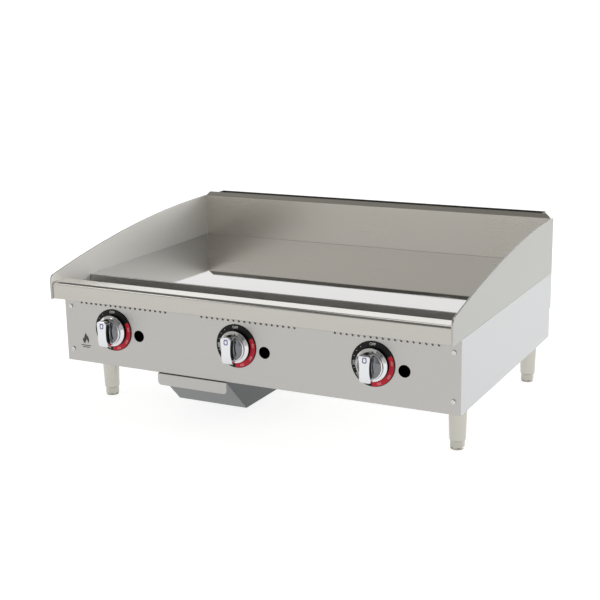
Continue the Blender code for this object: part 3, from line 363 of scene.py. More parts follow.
# Screen-printed ink: flat and matt, a little thin in places.
WHITE_INK = speckled("white_screen_ink", "#D5D5D0", "#ECECE8", 0.0, 0.55, 0.0008, 0.000003)
PINK_INK = speckled("pale_red_screen_ink", "#E08A90", "#EFA9AC", 0.0, 0.55, 0.0008, 0.000003)
BLUE_INK = speckled("blue_violet_pad_print", "#4B4A78", "#6C6A9C", 0.0, 0.45, 0.0008, 0.000003)
GREY_INK = speckled("dark_grey_screen_ink", "#2E2C2A", "#45423F", 0.0, 0.55, 0.0015, 0.000003)
# Satin nickel over a casting: soft highlights, fine pits.
LEG_SATIN = speckled("satin_nickel_leg_casting", "#B5B3AA", "#C3C1B9", 1.0, 0.24, 0.0015, 0.000003, 0.06)
FOOT_SATIN = speckled("satin_nickel_foot", "#ACAAA1", "#BAB8B0", 1.0, 0.26, 0.0012, 0.000003, 0.06)
# Zinc plate: pale grey, with a soft shine.
SCREW_PLATE = speckled("zinc_plated_screw", "#C6C6C4", "#D6D6D4", 1.0, 0.24, 0.0008, 0.000004)
# Black lacquer on drawn pipe: satin, slightly lumpy.
PIPE_LACQUER = speckled("black_lacquered_pipe", "#1B1B1B", "#2A2A29", 0.0, 0.42, 0.003, 0.00003)
# Turned brass: yellow, with fine tool marks.
TURNED_BRASS = speckled("turned_brass", "#B08A3E", "#CDA95B", 1.0, 0.24, 0.0009, 0.000006)
# Die cast aluminium: dull, with a cast grain.
VALVE_ALLOY = speckled("die_cast_aluminium_valve", "#9C9C99", "#B4B4B0", 1.0, 0.42, 0.0016, 0.00002)
# Drawn aluminium tube: clean and bright.
GAS_TUBE = speckled("drawn_aluminium_tube", "#C2C3C4", "#D6D7D8", 1.0, 0.26, 0.0018, 0.000008)


# ---------------------------------------------------------------- mesh tools


def plain_object(name, bm, materials):
    """An object made from a bmesh, with its materials in order."""
    mesh = bpy.data.meshes.new(name)
    bm.to_mesh(mesh)
    bm.free()
    return mesh_object(name, mesh, materials)


def mesh_object(name, mesh, materials):
    """An object with this mesh, in the scene."""
    for material in materials:
        mesh.materials.append(material)
    obj = bpy.data.objects.new(name, mesh)
    bpy.context.scene.collection.objects.link(obj)
    return obj


def evaluated_mesh(obj):
    """A new mesh with the object's modifiers in it."""
    graph = bpy.context.evaluated_depsgraph_get()
    return bpy.data.meshes.new_from_object(obj.evaluated_get(graph), depsgraph=graph)


def bake_modifiers(obj):
    """Makes the modifiers part of the mesh."""
    mesh = evaluated_mesh(obj)
    obj.modifiers.clear()
    obj.data = mesh


def modify(obj, kind, **settings):
    """Adds a modifier with its settings."""
    modifier = obj.modifiers.new(kind.lower(), kind)
    for name, value in settings.items():
        setattr(modifier, name, value)


def round_edges(obj, width, segments=2, angle=30):
    """Softens the edges that turn more than an angle."""
    modify(
        obj,
        "BEVEL",
        width=width,
        segments=segments,
        limit_method="ANGLE",
        angle_limit=math.radians(angle),
    )


def cut(obj, tool):
    """Cuts one shape out of another."""
    modify(obj, "BOOLEAN", operation="DIFFERENCE", solver="EXACT", object=tool)


def smooth(obj, angle=35):
    """Smooth shading that keeps large flat faces flat and turns on the narrow ones beside them."""
    obj.data.shade_smooth()
    obj.data.set_sharp_from_angle(angle=math.radians(angle))
    modify(obj, "WEIGHTED_NORMAL", mode="FACE_AREA", keep_sharp=True)
    bake_modifiers(obj)


def remove(*objects):
    """Deletes helper objects."""
    for obj in objects:
        bpy.data.objects.remove(obj, do_unlink=True)


def settle(obj, body, slot, *nodes):
    """Puts a finished piece on its body and hides the nodes that it stands for; the finish that it is
    given is not used.
    """
    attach(obj, body)
    if nodes:
        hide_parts(*nodes)
    return obj


def merged(node):
    """A mesh like the node's, with its loose triangles joined up and flat faces whole."""
    bm = bmesh.new()
    bm.from_mesh(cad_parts[node].data)
    bmesh.ops.remove_doubles(bm, verts=bm.verts, dist=MERGE)
    bmesh.ops.dissolve_limit(bm, angle_limit=math.radians(1), verts=bm.verts, edges=bm.edges)
    return bm


def refined(node, name, material, body, slot, width=0.0004, segments=2):
    """A piece with the node's shape and softened edges."""
    obj = plain_object(name, merged(node), [material])
    round_edges(obj, width, segments)
    bake_modifiers(obj)
    smooth(obj)
    return settle(obj, body, slot, node)


def arc(centre, radius, first, last, steps):
    """Points on an arc in a plane, from one angle to another in degrees."""
    points = []
    for step in range(steps + 1):
        angle = math.radians(first + (last - first) * step / steps)
        points.append((centre[0] + radius * math.cos(angle), centre[1] + radius * math.sin(angle)))
    return points


def strip(name, profile, low, high, thickness, side, material):
    """Sheet folded along a profile in the YZ plane, from one x to another."""
    bm = bmesh.new()
    rows = [(bm.verts.new((low, y, z)), bm.verts.new((high, y, z))) for y, z in profile]
    for (near_a, far_a), (near_b, far_b) in zip(rows, rows[1:]):
        bm.faces.new((near_a, far_a, far_b, near_b))
    obj = plain_object(name, bm, [material])
    modify(obj, "SOLIDIFY", thickness=thickness, offset=side, use_even_offset=True)
    return obj


def turned(profile, steps, matrix=None):
    """A closed shape spun about Z from radius and height pairs, then put in its place."""
    bm = bmesh.new()
    verts = [bm.verts.new((radius, 0, height)) for radius, height in profile]
    edges = [bm.edges.new(pair) for pair in zip(verts, verts[1:])]
    bmesh.ops.spin(
        bm,
        geom=verts + edges,
        cent=(0, 0, 0),
        axis=(0, 0, 1),
        angle=math.radians(360),
        steps=steps,
        use_merge=True,
        use_duplicate=False,
    )
    bmesh.ops.remove_doubles(bm, verts=bm.verts, dist=MERGE)
    bmesh.ops.recalc_face_normals(bm, faces=bm.faces)
    if matrix:
        bm.transform(matrix)
    return bm


def rod(radius, length, sides, matrix=None):
    """A straight round bar about its own middle, then put in its place."""
    bm = bmesh.new()
    bmesh.ops.create_cone(
        bm,
        cap_ends=True,
        segments=sides,
        radius1=radius,
        radius2=radius,
        depth=length,
        matrix=matrix or Matrix.Identity(4),
    )
    return bm


def join_meshes(name, meshes, materials):
    """One object from several meshes that keep their own material numbers."""
    bm = bmesh.new()
    for mesh in meshes:
        bm.from_mesh(mesh)
    return plain_object(name, bm, materials)


# ---------------------------------------------------------------- patterns of repeated pieces


def new_tree(name, inputs):
    """A Geometry Nodes tree with named inputs and one geometry output."""
    tree = bpy.data.node_groups.new(name, "GeometryNodeTree")
    tree.interface.new_socket("Geometry", in_out="INPUT", socket_type="NodeSocketGeometry")
    for label, kind in inputs:
        tree.interface.new_socket(label, in_out="INPUT", socket_type=kind)
    tree.interface.new_socket("Geometry", in_out="OUTPUT", socket_type="NodeSocketGeometry")
    return tree


def finish_tree(tree, points, rotation=None):
    """Puts the piece on each point, makes it real, and gives it the material."""
    given = add(tree, "NodeGroupInput").outputs
    piece = add(tree, "GeometryNodeObjectInfo", {"Object": given["Piece"]})
    inputs = {"Points": points, "Instance": piece.outputs["Geometry"]}
    if rotation:
        inputs["Rotation"] = rotation
    copies = add(tree, "GeometryNodeInstanceOnPoints", inputs)
    real = add(tree, "GeometryNodeRealizeInstances", {0: copies})
    painted = add(tree, "GeometryNodeSetMaterial", {"Geometry": real, "Material": given["Material"]})
    add(tree, "NodeGroupOutput", {"Geometry": painted})


def row_tree():
    """Copies of a piece along a straight line."""
    tree = new_tree(
        "row_of_pieces",
        [
            ("Piece", "NodeSocketObject"),
            ("Count", "NodeSocketInt"),
            ("First Place", "NodeSocketVector"),
            ("Step", "NodeSocketVector"),
            ("Material", "NodeSocketMaterial"),
        ],
    )
    given = add(tree, "NodeGroupInput").outputs
    line = add(
        tree,
        "GeometryNodeMeshLine",
        {"Count": given["Count"], "Start Location": given["First Place"], "Offset": given["Step"]},
        mode="OFFSET",
    )
    finish_tree(tree, line.outputs[0])
    return tree


def arc_tree():
    """Copies of a piece on an arc that faces the front, each turned to point outwards."""
    tree = new_tree(
        "arc_of_pieces",
        [
            ("Piece", "NodeSocketObject"),
            ("Count", "NodeSocketInt"),
            ("Centre", "NodeSocketVector"),
            ("Radius", "NodeSocketFloat"),
            ("First Angle", "NodeSocketFloat"),
            ("Step Angle", "NodeSocketFloat"),
            ("Material", "NodeSocketMaterial"),
        ],
    )
    given = add(tree, "NodeGroupInput").outputs
    line = add(tree, "GeometryNodeMeshLine", {"Count": given["Count"]})
    number = add(tree, "GeometryNodeInputIndex")
    angle = add(
        tree,
        "ShaderNodeMath",
        {0: number, 1: given["Step Angle"], 2: given["First Angle"]},
        operation="MULTIPLY_ADD",
    )
    across = add(tree, "ShaderNodeMath", {0: angle}, operation="SINE")
    upward = add(tree, "ShaderNodeMath", {0: angle}, operation="COSINE")
    outward = add(tree, "ShaderNodeCombineXYZ", {"X": across, "Z": upward})
    arm = add(tree, "ShaderNodeVectorMath", {0: outward, "Scale": given["Radius"]}, operation="SCALE")
    place = add(tree, "ShaderNodeVectorMath", {0: arm, 1: given["Centre"]}, operation="ADD")
    points = add(tree, "GeometryNodeSetPosition", {"Geometry": line, "Position": place})
    turn = add(tree, "ShaderNodeCombineXYZ", {"Y": angle})
    finish_tree(tree, points.outputs[0], turn.outputs[0])
    return tree


def pattern(tree, values):
    """The plain mesh that a tree makes from these inputs."""
    holder = bpy.data.objects.new("holder", bpy.data.meshes.new("holder"))
    bpy.context.scene.collection.objects.link(holder)
    modifier = holder.modifiers.new("pattern", "NODES")
    modifier.node_group = tree
    for socket in tree.interface.items_tree:
        if socket.in_out == "INPUT" and socket.name in values:
            modifier[socket.identifier] = values[socket.name]
    mesh = evaluated_mesh(holder)
    holder.modifiers.clear()
    remove(holder)
    return mesh


ROW = row_tree()
ARC = arc_tree()


# ---------------------------------------------------------------- casing

PANEL_BEND = 0.0025
FLANGE_SHORT = 0.0265  # the bottom flange stops short of the side panels
RELIEF_DEPTH = 0.04  # the cut that shortens it, front to back
RELIEF_HEIGHT = 0.02
VENTS = 18
VENT_PITCH = 0.0127
VENT_RADIUS = 0.0027
VENT_DROP = 0.0144  # vent row under the top of the panel
BURNER_PITCH = 0.3048


def knob_axis(station):
    """The point where a knob's shaft comes through the panel."""
    low, high = span(f"dial_plate_{station}")
    return Vector(((low.x + high.x) / 2, PANEL_Y, (low.z + high.z) / 2))


LIGHTING_OFFSET = 0.065  # lighting hole beside the knob
LIGHTING_DROP = 0.0069  # and a little below its axis
LIGHTING_RADIUS = 0.0127
SHAFT_HOLE = 0.0095
SCREW_HOLE = 0.0026
DRILL_LENGTH = 8 * SHEET


def front_cutter(name, places, radius, sides):
    """Rods that run front to back through the panel."""
    bm = bmesh.new()
    for place in places:
        matrix = Matrix.Translation(place) @ FACING_FRONT
        bmesh.ops.create_cone(
            bm,
            cap_ends=True,
            segments=sides,
            radius1=radius,
            radius2=radius,
            depth=DRILL_LENGTH,
            matrix=matrix,
        )
    return plain_object(name, bm, [])


def screw_places():
    """Where the screws sit: left lower, left upper, right lower, right upper."""
    places = []
    for side in ("left", "right"):
        for row in ("lower", "upper"):
            low, high = span(f"panel_screw_{side}_{row}")
            places.append(Vector(((low.x + high.x) / 2, PANEL_Y, (low.z + high.z) / 2)))
    return places


def make_front_panel():
    """The control panel: bent back below, with round vent, shaft, lighting and screw holes."""
    low = PANEL_LOW
    high = PANEL_HIGH
    bend = arc((PANEL_Y + PANEL_BEND, low.z + PANEL_BEND), PANEL_BEND, 180, 270, 6)
    profile = [(PANEL_Y, high.z)] + bend + [(high.y, low.z)]
    panel = strip("control_panel", profile, low.x, high.x, SHEET, 1, PANEL_STEEL)
    ends = bmesh.new()
    for sign in (-1, 1):
        edge = high.x * sign
        centre = (edge, PANEL_Y + SHEET + PANEL_BEND + RELIEF_DEPTH / 2, low.z)
        size = Matrix.Diagonal((2 * FLANGE_SHORT, RELIEF_DEPTH, RELIEF_HEIGHT, 1))
        block = Matrix.Translation(centre) @ size
        bmesh.ops.create_cube(ends, size=1, matrix=block)
    relief = plain_object("flange_relief", ends, [])
    axes = [knob_axis(station) for station in STATIONS]
    lighting = [axis + Vector((LIGHTING_OFFSET, 0, -LIGHTING_DROP)) for axis in axes]
    tools = [
        front_cutter("shaft_holes", axes, SHAFT_HOLE, 48),
        front_cutter("lighting_holes", lighting, LIGHTING_RADIUS, 64),
        front_cutter("screw_holes", screw_places(), SCREW_HOLE, 24),
        relief,
    ]
    drill = plain_object("vent_drill", rod(VENT_RADIUS, DRILL_LENGTH, 16, FACING_FRONT), [])
    for number, station in enumerate(STATIONS):
        middle = (number - 1) * BURNER_PITCH
        first = middle - (VENTS - 1) / 2 * VENT_PITCH
        values = {
            "Piece": drill,
            "Count": VENTS,
            "First Place": (first, PANEL_Y, high.z - VENT_DROP),
            "Step": (VENT_PITCH, 0, 0),
            "Material": PANEL_STEEL,
        }
        tools.append(mesh_object(f"vents_{station}", pattern(ROW, values), []))
    for tool in tools:
        cut(panel, tool)
    bake_modifiers(panel)
    remove(drill, *tools)
    smooth(panel)
    settle(panel, "casing", "stainless", "front_panel")


RAIL_NOSE = 0.008
RAIL_BACK = 0.009
RAIL_FOOT = 0.0025
RAIL_BACK_DROP = 0.033  # how far the rail reaches down into the trough


def make_front_rail():
    """The rounded rail: flat in front, rolled over a tight nose, and down into the trough."""
    low = RAIL_LOW
    high = RAIL_HIGH
    foot = arc((low.y + RAIL_FOOT, low.z + RAIL_FOOT), RAIL_FOOT, 270, 180, 6)
    nose = arc((low.y + RAIL_NOSE, high.z - RAIL_NOSE), RAIL_NOSE, 180, 90, 16)
    back = arc((high.y - RAIL_BACK, high.z - RAIL_BACK), RAIL_BACK, 90, 0, 16)
    lip = (high.y, high.z - RAIL_BACK_DROP)
    profile = [(PANEL_Y, low.z)] + foot + nose + back + [lip]
    rail = strip("rolled_front_rail", profile, low.x, high.x, SHEET, -1, RAIL_STEEL)
    bake_modifiers(rail)
    smooth(rail)
    settle(rail, "casing", "stainless", "front_rail")


def make_side_panels():
    """Satin sheets that close the ends of the casing."""
    for side in ("left", "right"):
        refined(f"{side}_side_panel", f"side_panel_{side}", SIDE_STEEL_PAINTED_LIGHT, "casing", "stainless")


UPRIGHT = 0.9  # a face whose normal leans this far along an axis belongs to that wall
SPLASH_CORNER = 0.015
SPLASH_FALL = 0.0765
SPLASH_STEPS = 48
CORNER_REACH = 0.8  # the round corner starts this share of its radius from the front
CORNER_STEPS = 8


def make_side_splashes():
    """Thick polished plates whose top edge falls towards the front and ends in a round corner."""
    for side in ("left", "right"):
        low, high = span(f"{side}_splash")
        length = high.y - low.y
        top = []
        for step in range(SPLASH_STEPS + 1):
            back = (length - SPLASH_CORNER * CORNER_REACH) * step / SPLASH_STEPS
            top.append((high.y - back, high.z - SPLASH_FALL * (back / length) ** 2))
        corner_z = top[-1][1]
        corner = []
        for step in range(1, CORNER_STEPS + 1):
            share = math.radians(90 * step / CORNER_STEPS)
            y = low.y + (top[-1][0] - low.y) * (1 - math.sin(share))
            z = corner_z - SPLASH_CORNER * (1 - math.cos(share))
            corner.append((y, z))
        outline = [(low.y, low.z), (high.y, low.z)] + top + corner
        bm = bmesh.new()
        loop = [bm.verts.new((low.x, y, z)) for y, z in outline]
        face = bm.faces.new(loop)
        grown = bmesh.ops.extrude_face_region(bm, geom=[face], use_keep_orig=True)
        moved = [item for item in grown["geom"] if isinstance(item, bmesh.types.BMVert)]
        bmesh.ops.translate(bm, vec=(high.x - low.x, 0, 0), verts=moved)
        bmesh.ops.recalc_face_normals(bm, faces=bm.faces)
        splash = plain_object(f"splash_plate_{side}", bm, [SPLASH_OUTSIDE, SPLASH_INSIDE_PAINTED_LIGHT])
        round_edges(splash, 0.0006, 2, 50)
        bake_modifiers(splash)
        inward = 1 if side == "left" else -1
        # Inner faces take the paler sheet: painted light.
        for face in splash.data.polygons:
            if face.normal.x * inward > UPRIGHT:
                face.material_index = 1
        smooth(splash)
        settle(splash, "casing", "stainless", f"{side}_splash")


LIP_HEIGHT = 0.0105


def make_back_splash():
    """The rear splash, with its leaning lip in a darker sheet."""
    splash = plain_object("rear_splash_plate", merged("back_splash"), [BACK_STEEL, LIP_STEEL])
    lip_start = span("back_splash")[1].z - LIP_HEIGHT
    round_edges(splash, 0.0004, 2, 12)
    bake_modifiers(splash)
    for face in splash.data.polygons:
        if face.center.z > lip_start:
            face.material_index = 1
    smooth(splash, 20)
    settle(splash, "casing", "stainless", "back_splash")


PLATE_EDGE = 0.0015
POLISH_TURN = 0.4  # faces whose normals point up less than this keep the mill finish


def make_griddle_plate():
    """The thick plate: polished on top and round its upper edges, left plain below."""
    bm = bmesh.new()
    size = PLATE_HIGH - PLATE_LOW
    block = Matrix.Translation((PLATE_LOW + PLATE_HIGH) / 2) @ Matrix.Diagonal((*size, 1))
    bmesh.ops.create_cube(bm, size=1, matrix=block)
    plate = plain_object("polished_griddle_plate", bm, [PLATE_STEEL, TROUGH_STEEL])
    round_edges(plate, PLATE_EDGE, 4)
    bake_modifiers(plate)
    for face in plate.data.polygons:
        if face.normal.z < POLISH_TURN:
            face.material_index = 1
    smooth(plate)
    settle(plate, "casing", "griddle_steel", "griddle_plate")


SCREW_HEAD = 0.0048
SCREW_RISE = 0.0022
SCREW_FLAT = 0.0030
SHANK_RADIUS = 0.0022
SHANK_LENGTH = 0.0036
SLOT_SIZE = (0.0044, 0.0024, 0.0008)


def make_panel_screws():
    """Four pan head screws with crossed slots, copied from one."""
    profile = [(0, SCREW_RISE)]
    for step in range(8):
        angle = math.radians(90 * step / 7)
        reach = SCREW_FLAT + (SCREW_HEAD - SCREW_FLAT) * math.sin(angle)
        profile.append((reach, SCREW_RISE * (0.4 + 0.6 * math.cos(angle))))
    profile += [(SCREW_HEAD, 0), (SHANK_RADIUS, 0), (SHANK_RADIUS, -SHANK_LENGTH), (0, -SHANK_LENGTH)]
    head = plain_object("screw_pattern", turned(profile, 32, FACING_FRONT), [SCREW_PLATE])
    for turn in (45, 135):
        tilt = Matrix.Rotation(math.radians(turn), 4, "Y")
        size = Matrix.Diagonal((*SLOT_SIZE, 1))
        block = bmesh.new()
        top = Matrix.Translation((0, -SCREW_RISE, 0))
        bmesh.ops.create_cube(block, size=1, matrix=top @ tilt @ size)
        slot = plain_object("screw_slot", block, [])
        cut(head, slot)
        bake_modifiers(head)
        remove(slot)
    places = screw_places()
    rows = []
    for first, last in ((places[0], places[2]), (places[1], places[3])):
        values = {
            "Piece": head,
            "Count": 2,
            "First Place": first + Vector((0, -GAP, 0)),
            "Step": last - first,
            "Material": SCREW_PLATE,
        }
        rows.append(pattern(ROW, values))
    remove(head)
    screws = join_meshes("panel_screws", rows, [SCREW_PLATE])
    smooth(screws)
    nodes = [f"panel_screw_{side}_{row}" for side in ("left", "right") for row in ("lower", "upper")]
    settle(screws, "casing", "screw_steel", *nodes)


HIDDEN_SHEETS = (
    "rear_panel",
    "bottom_cover",
    "front_bulkhead",
    "heat_shield",
    "front_burner_rest",
    "rear_burner_rest",
    "drawer_rail_left",
    "drawer_rail_right",
)


def make_hidden_sheets():
    """Sheet pieces that show from behind, from below, or through an opening."""
    for node in HIDDEN_SHEETS:
        refined(node, f"{node}_sheet", SHEET_STEEL, "casing", "aluminised_steel", 0.0003)
    refined("flue_duct", "flue_riser", FLUE_PAINTED_SHADE_STEEL, "casing", "stainless")
    refined("grease_trough", "trough_channel", TROUGH_STEEL, "casing", "stainless", 0.0005)
    refined("drain_chute", "drain_sleeve", TROUGH_STEEL, "casing", "stainless")


# ---------------------------------------------------------------- controls

DIAL_RIM = 0.0010
RED_INNER = 0.0345
RED_OUTER = 0.0447
RED_FIRST = 62  # degrees clockwise from the top
RED_LAST = 183
PRINT_HEIGHT = 0.00012
TEXT_RADIUS = 0.0400
TICK_WIDTH = 0.0006
TICK_LENGTH = 0.0024
TICKS = 7
FIRST_TICK = -38
TICK_STEP = -17


def sector(inner, outer, first, last, base, top, steps=48):
    """A flat ring sector that faces the front, angles clockwise from the top, about the origin."""
    bm = bmesh.new()
    rings = []
    for step in range(steps + 1):
        angle = math.radians(first + (last - first) * step / steps)
        x = math.sin(angle)
        z = math.cos(angle)
        rings.append(
            [
                bm.verts.new((x * inner, -base, z * inner)),
                bm.verts.new((x * outer, -base, z * outer)),
                bm.verts.new((x * outer, -top, z * outer)),
                bm.verts.new((x * inner, -top, z * inner)),
            ]
        )
    for here, after in zip(rings, rings[1:]):
        for index in range(4):
            other = (index + 1) % 4
            bm.faces.new((here[index], here[other], after[other], after[index]))
    bm.faces.new(rings[0])
    bm.faces.new(rings[-1])
    bmesh.ops.recalc_face_normals(bm, faces=bm.faces)
    return bm


def lettering(words, size, matrix):
    """Raised print, as a mesh that faces the front in its place."""
    curve = bpy.data.curves.new(words, "FONT")
    curve.body = words
    curve.size = size
    curve.align_x = "CENTER"
    curve.align_y = "CENTER"
    curve.extrude = PRINT_HEIGHT / 2
    curve.resolution_u = 3
    holder = bpy.data.objects.new("lettering", curve)
    bpy.context.scene.collection.objects.link(holder)
    mesh = evaluated_mesh(holder)
    remove(holder)
    mesh.transform(matrix @ FACING_FRONT)
    mesh.materials.clear()
    bm = bmesh.new()
    bm.from_mesh(mesh)
    bmesh.ops.remove_doubles(bm, verts=bm.verts, dist=MERGE)
    bm.to_mesh(mesh)
    bm.free()
    return mesh


# Each print: its word, degrees clockwise from the top, height and ink.
DIAL_WORDS = (
    ("OFF", 0, 0.0078, "white"),
    ("200", -92, 0.0068, "white"),
    ("250", -128, 0.0062, "white"),
    ("300", -163, 0.0062, "white"),
    ("350", 160, 0.0066, "pink"),
    ("400", 122, 0.0066, "pink"),
    ("450", 82, 0.0066, "pink"),
)


def make_dials():
    """Black enamelled plates with a red arc for the hot settings, and printed numbers."""
    tick_mesh = bmesh.new()
    block = Matrix.Diagonal((TICK_WIDTH, PRINT_HEIGHT, TICK_LENGTH, 1))
    bmesh.ops.create_cube(tick_mesh, size=1, matrix=block)
    tick = plain_object("tick", tick_mesh, [])
    for station in STATIONS:
        low, high = span(f"dial_plate_{station}")
        axis = knob_axis(station)
        radius = (high.x - low.x) / 2
        face = PANEL_Y - low.y
        back = PANEL_Y - high.y
        profile = [(SHAFT_HOLE, back), (SHAFT_HOLE, face), (radius - DIAL_RIM, face)]
        for y, z in arc((radius - DIAL_RIM, face - DIAL_RIM), DIAL_RIM, 75, 0, 5):
            profile.append((y, z))
        profile += [(radius, back), (SHAFT_HOLE, back)]
        place = Matrix.Translation(axis)
        plate = plain_object(
            f"dial_{station}", turned(profile, 96, place @ FACING_FRONT), [BLACK_ENAMEL]
        )
        smooth(plate, 30)
        settle(plate, "casing", "dial_enamel", f"dial_plate_{station}")
        red_mesh = sector(RED_INNER, RED_OUTER, RED_FIRST, RED_LAST, face - 0.0002, face + PRINT_HEIGHT)
        red_mesh.transform(place)
        red = plain_object(f"dial_red_arc_{station}", red_mesh, [RED_ENAMEL])
        smooth(red, 30)
        settle(red, "casing", "dial_enamel")
        printed = {"white": [], "pink": []}
        for words, angle, size, ink in DIAL_WORDS:
            spin = Matrix.Rotation(math.radians(angle), 4, "Y")
            lift = face + PRINT_HEIGHT * (1.5 if ink == "pink" else 0.5)
            out = Matrix.Translation((0, -lift, TEXT_RADIUS))
            printed[ink].append(lettering(words, size, place @ spin @ out))
        ticks = {
            "Piece": tick,
            "Count": TICKS,
            "Centre": axis + Vector((0, -face - PRINT_HEIGHT / 2, 0)),
            "Radius": TEXT_RADIUS + 0.0010,
            "First Angle": math.radians(FIRST_TICK),
            "Step Angle": math.radians(TICK_STEP),
            "Material": WHITE_INK,
        }
        tick_print = pattern(ARC, ticks)
        tick_print.materials.clear()
        white = join_meshes(f"dial_print_{station}", printed["white"] + [tick_print], [WHITE_INK])
        settle(white, "casing", "dial_enamel")
        pink = join_meshes(f"dial_hot_print_{station}", printed["pink"], [PINK_INK])
        settle(pink, "casing", "dial_enamel")
    remove(tick)


SKIRT_RADIUS = 0.0338
BODY_RADIUS = 0.0275
DOME_RADIUS = 0.0255
DOME_RISE = 0.0180
DOME_DROP = 0.0058
DOME_STEPS = 12
SHOULDER = 0.0030
SKIRT_EDGE = 0.0014
SOCKET_RADIUS = 0.0043
SOCKET_LENGTH = 0.044
GRIP_HALF = 0.0290
GRIP_WAIST = 0.0104
GRIP_FLARE = 0.0034
GRIP_UNDERCUT = 0.0034
SCOOP_DEPTH = 0.0017
CROWN_RADIUS = 0.0016
GRIP_ROWS = 30
FLANK_STEPS = 20


def knob_turning(back):
    """The round part of the knob: a sloping skirt and a dome in darkened chrome, a painted dark
    reflection, with a soft shoulder.
    """
    crown = back + DOME_RISE
    profile = [(0, crown)]
    for step in range(1, DOME_STEPS + 1):
        share = step / DOME_STEPS
        profile.append((DOME_RADIUS * share, crown - DOME_DROP * share**2.2))
    rim = profile[-1][1]
    profile += arc((BODY_RADIUS - SHOULDER, rim - SHOULDER), SHOULDER, 50, 0, 6)
    profile += [(BODY_RADIUS + 0.0002, back + 0.0072), (BODY_RADIUS + 0.0009, back + 0.0060)]
    profile += arc((SKIRT_RADIUS - SKIRT_EDGE, back + SKIRT_EDGE), SKIRT_EDGE, 55, -60, 8)
    profile += [(SKIRT_RADIUS - SKIRT_EDGE, back), (0, back)]
    bm = turned(profile, 96)
    # Faces on the dome take the darkened chrome: painted dark reflection.
    for face in bm.faces:
        middle = face.calc_center_median()
        if middle.z > rim and math.hypot(middle.x, middle.y) < DOME_RADIUS:
            face.material_index = 2
    return bm


def knob_grip(back, front):
    """The finger grip: waisted, undercut, and scooped twice down each flank around a ridge.

    It is a grid of sections along the grip. Local +Y is up the dial and +Z is out of the panel.
    """
    bm = bmesh.new()
    sections = []
    bottom = back + 0.0030
    for row in range(GRIP_ROWS + 1):
        share = 2 * row / GRIP_ROWS - 1
        end = math.sqrt(max(0.0, 1 - abs(share) ** 8))
        waist = (GRIP_WAIST + GRIP_FLARE * share * share) * (0.4 + 0.6 * end)
        top = front - 0.0006 - 0.0075 * max(0.0, -share - 0.30) ** 1.3 - 0.0030 * (1 - end)
        lens = max(0.0, 1 - (share / 0.85) ** 2)
        shoulder = top - CROWN_RADIUS
        half = []
        for step in range(FLANK_STEPS + 1):
            rise = step / FLANK_STEPS
            scoop = abs(math.sin(2 * math.pi * rise)) * SCOOP_DEPTH * lens
            undercut = GRIP_UNDERCUT * (1 - rise)
            half.append((waist - scoop - undercut, bottom + (shoulder - bottom) * rise))
        half += arc((waist - CROWN_RADIUS, shoulder), CROWN_RADIUS, 15, 90, 5)
        outline = half + [(-x, z) for x, z in reversed(half)]
        y = GRIP_HALF * share
        sections.append([bm.verts.new((x, y, z)) for x, z in outline])
    for row, (here, after) in enumerate(zip(sections, sections[1:])):
        count = len(here)
        for index in range(count):
            other = (index + 1) % count
            face = bm.faces.new((here[index], here[other], after[other], after[index]))
            # Faces down the middle of each scoop take the nearly black chrome: painted shade in the
            # hollows.
            step = min(index, count - 2 - index)
            share = (2 * row + 1) / GRIP_ROWS - 1
            wave = abs(math.sin(2 * math.pi * (step + 0.5) / FLANK_STEPS))
            if step < FLANK_STEPS and wave * (1 - (share / 0.85) ** 2) > 0.22:
                face.material_index = 1
    bm.faces.new(sections[0])
    bm.faces.new(sections[-1])
    bmesh.ops.recalc_face_normals(bm, faces=bm.faces)
    return bm


MARK_PLACE = (0.0012, 0.0190)  # beside the middle of the grip, and up it
MARK_SINK = 0.0005


def make_knobs():
    """Chromed knobs: skirt, body and grip in one casting, with a printed pointer mark."""
    for station in STATIONS:
        low, high = span(f"knob_{station}")
        axis = knob_axis(station)
        back = PANEL_Y - high.y
        front = PANEL_Y - low.y
        place = Matrix.Translation(axis) @ FACING_FRONT
        knob = plain_object(f"chrome_knob_{station}", knob_turning(back), [CHROME, FLUTE_PAINTED_SHADE, DOME_CHROME_PAINTED_DARK_REFLECTION])
        grip = plain_object("grip", knob_grip(back, front), [CHROME, FLUTE_PAINTED_SHADE])
        modify(knob, "BOOLEAN", operation="UNION", solver="EXACT", object=grip)
        socket = rod(SOCKET_RADIUS, SOCKET_LENGTH, 32, Matrix.Translation((0, 0, back)))
        stem = plain_object("socket", socket, [])
        cut(knob, stem)
        bake_modifiers(knob)
        remove(grip, stem)
        knob.data.transform(place)
        smooth(knob, 32)
        settle(knob, f"{station}_knob", "chrome", f"knob_{station}")
        mark_mesh = pointer_mark()
        mark_mesh.transform(place @ Matrix.Translation((*MARK_PLACE, front - MARK_SINK)))
        mark = plain_object(f"knob_mark_{station}", mark_mesh, [BLUE_INK])
        settle(mark, f"{station}_knob", "chrome")


MARK_HALF = (0.0046, 0.0058)
MARK_WINDOW = (0.0027, 0.0038)
MARK_FOOT = -0.0008
MARK_STEPS = 32
MARK_SQUARENESS = 0.55  # 1 would be an ellipse, 0 a rectangle


def pointer_mark():
    """A small rounded frame, printed on the grip where it points at the dial."""
    bm = bmesh.new()
    loops = []
    for (half_x, half_y), height in (
        (MARK_HALF, MARK_FOOT),
        (MARK_HALF, PRINT_HEIGHT),
        (MARK_WINDOW, PRINT_HEIGHT),
        (MARK_WINDOW, MARK_FOOT),
    ):
        loop = []
        for step in range(MARK_STEPS):
            angle = math.radians(360 * step / MARK_STEPS)
            x = math.copysign(abs(math.cos(angle)) ** MARK_SQUARENESS, math.cos(angle)) * half_x
            y = math.copysign(abs(math.sin(angle)) ** MARK_SQUARENESS, math.sin(angle)) * half_y
            loop.append(bm.verts.new((x, y, height)))
        loops.append(loop)
    for here, after in zip(loops, loops[1:] + loops[:1]):
        for index in range(MARK_STEPS):
            other = (index + 1) % MARK_STEPS
            bm.faces.new((here[index], here[other], after[other], after[index]))
    bmesh.ops.recalc_face_normals(bm, faces=bm.faces)
    return bm


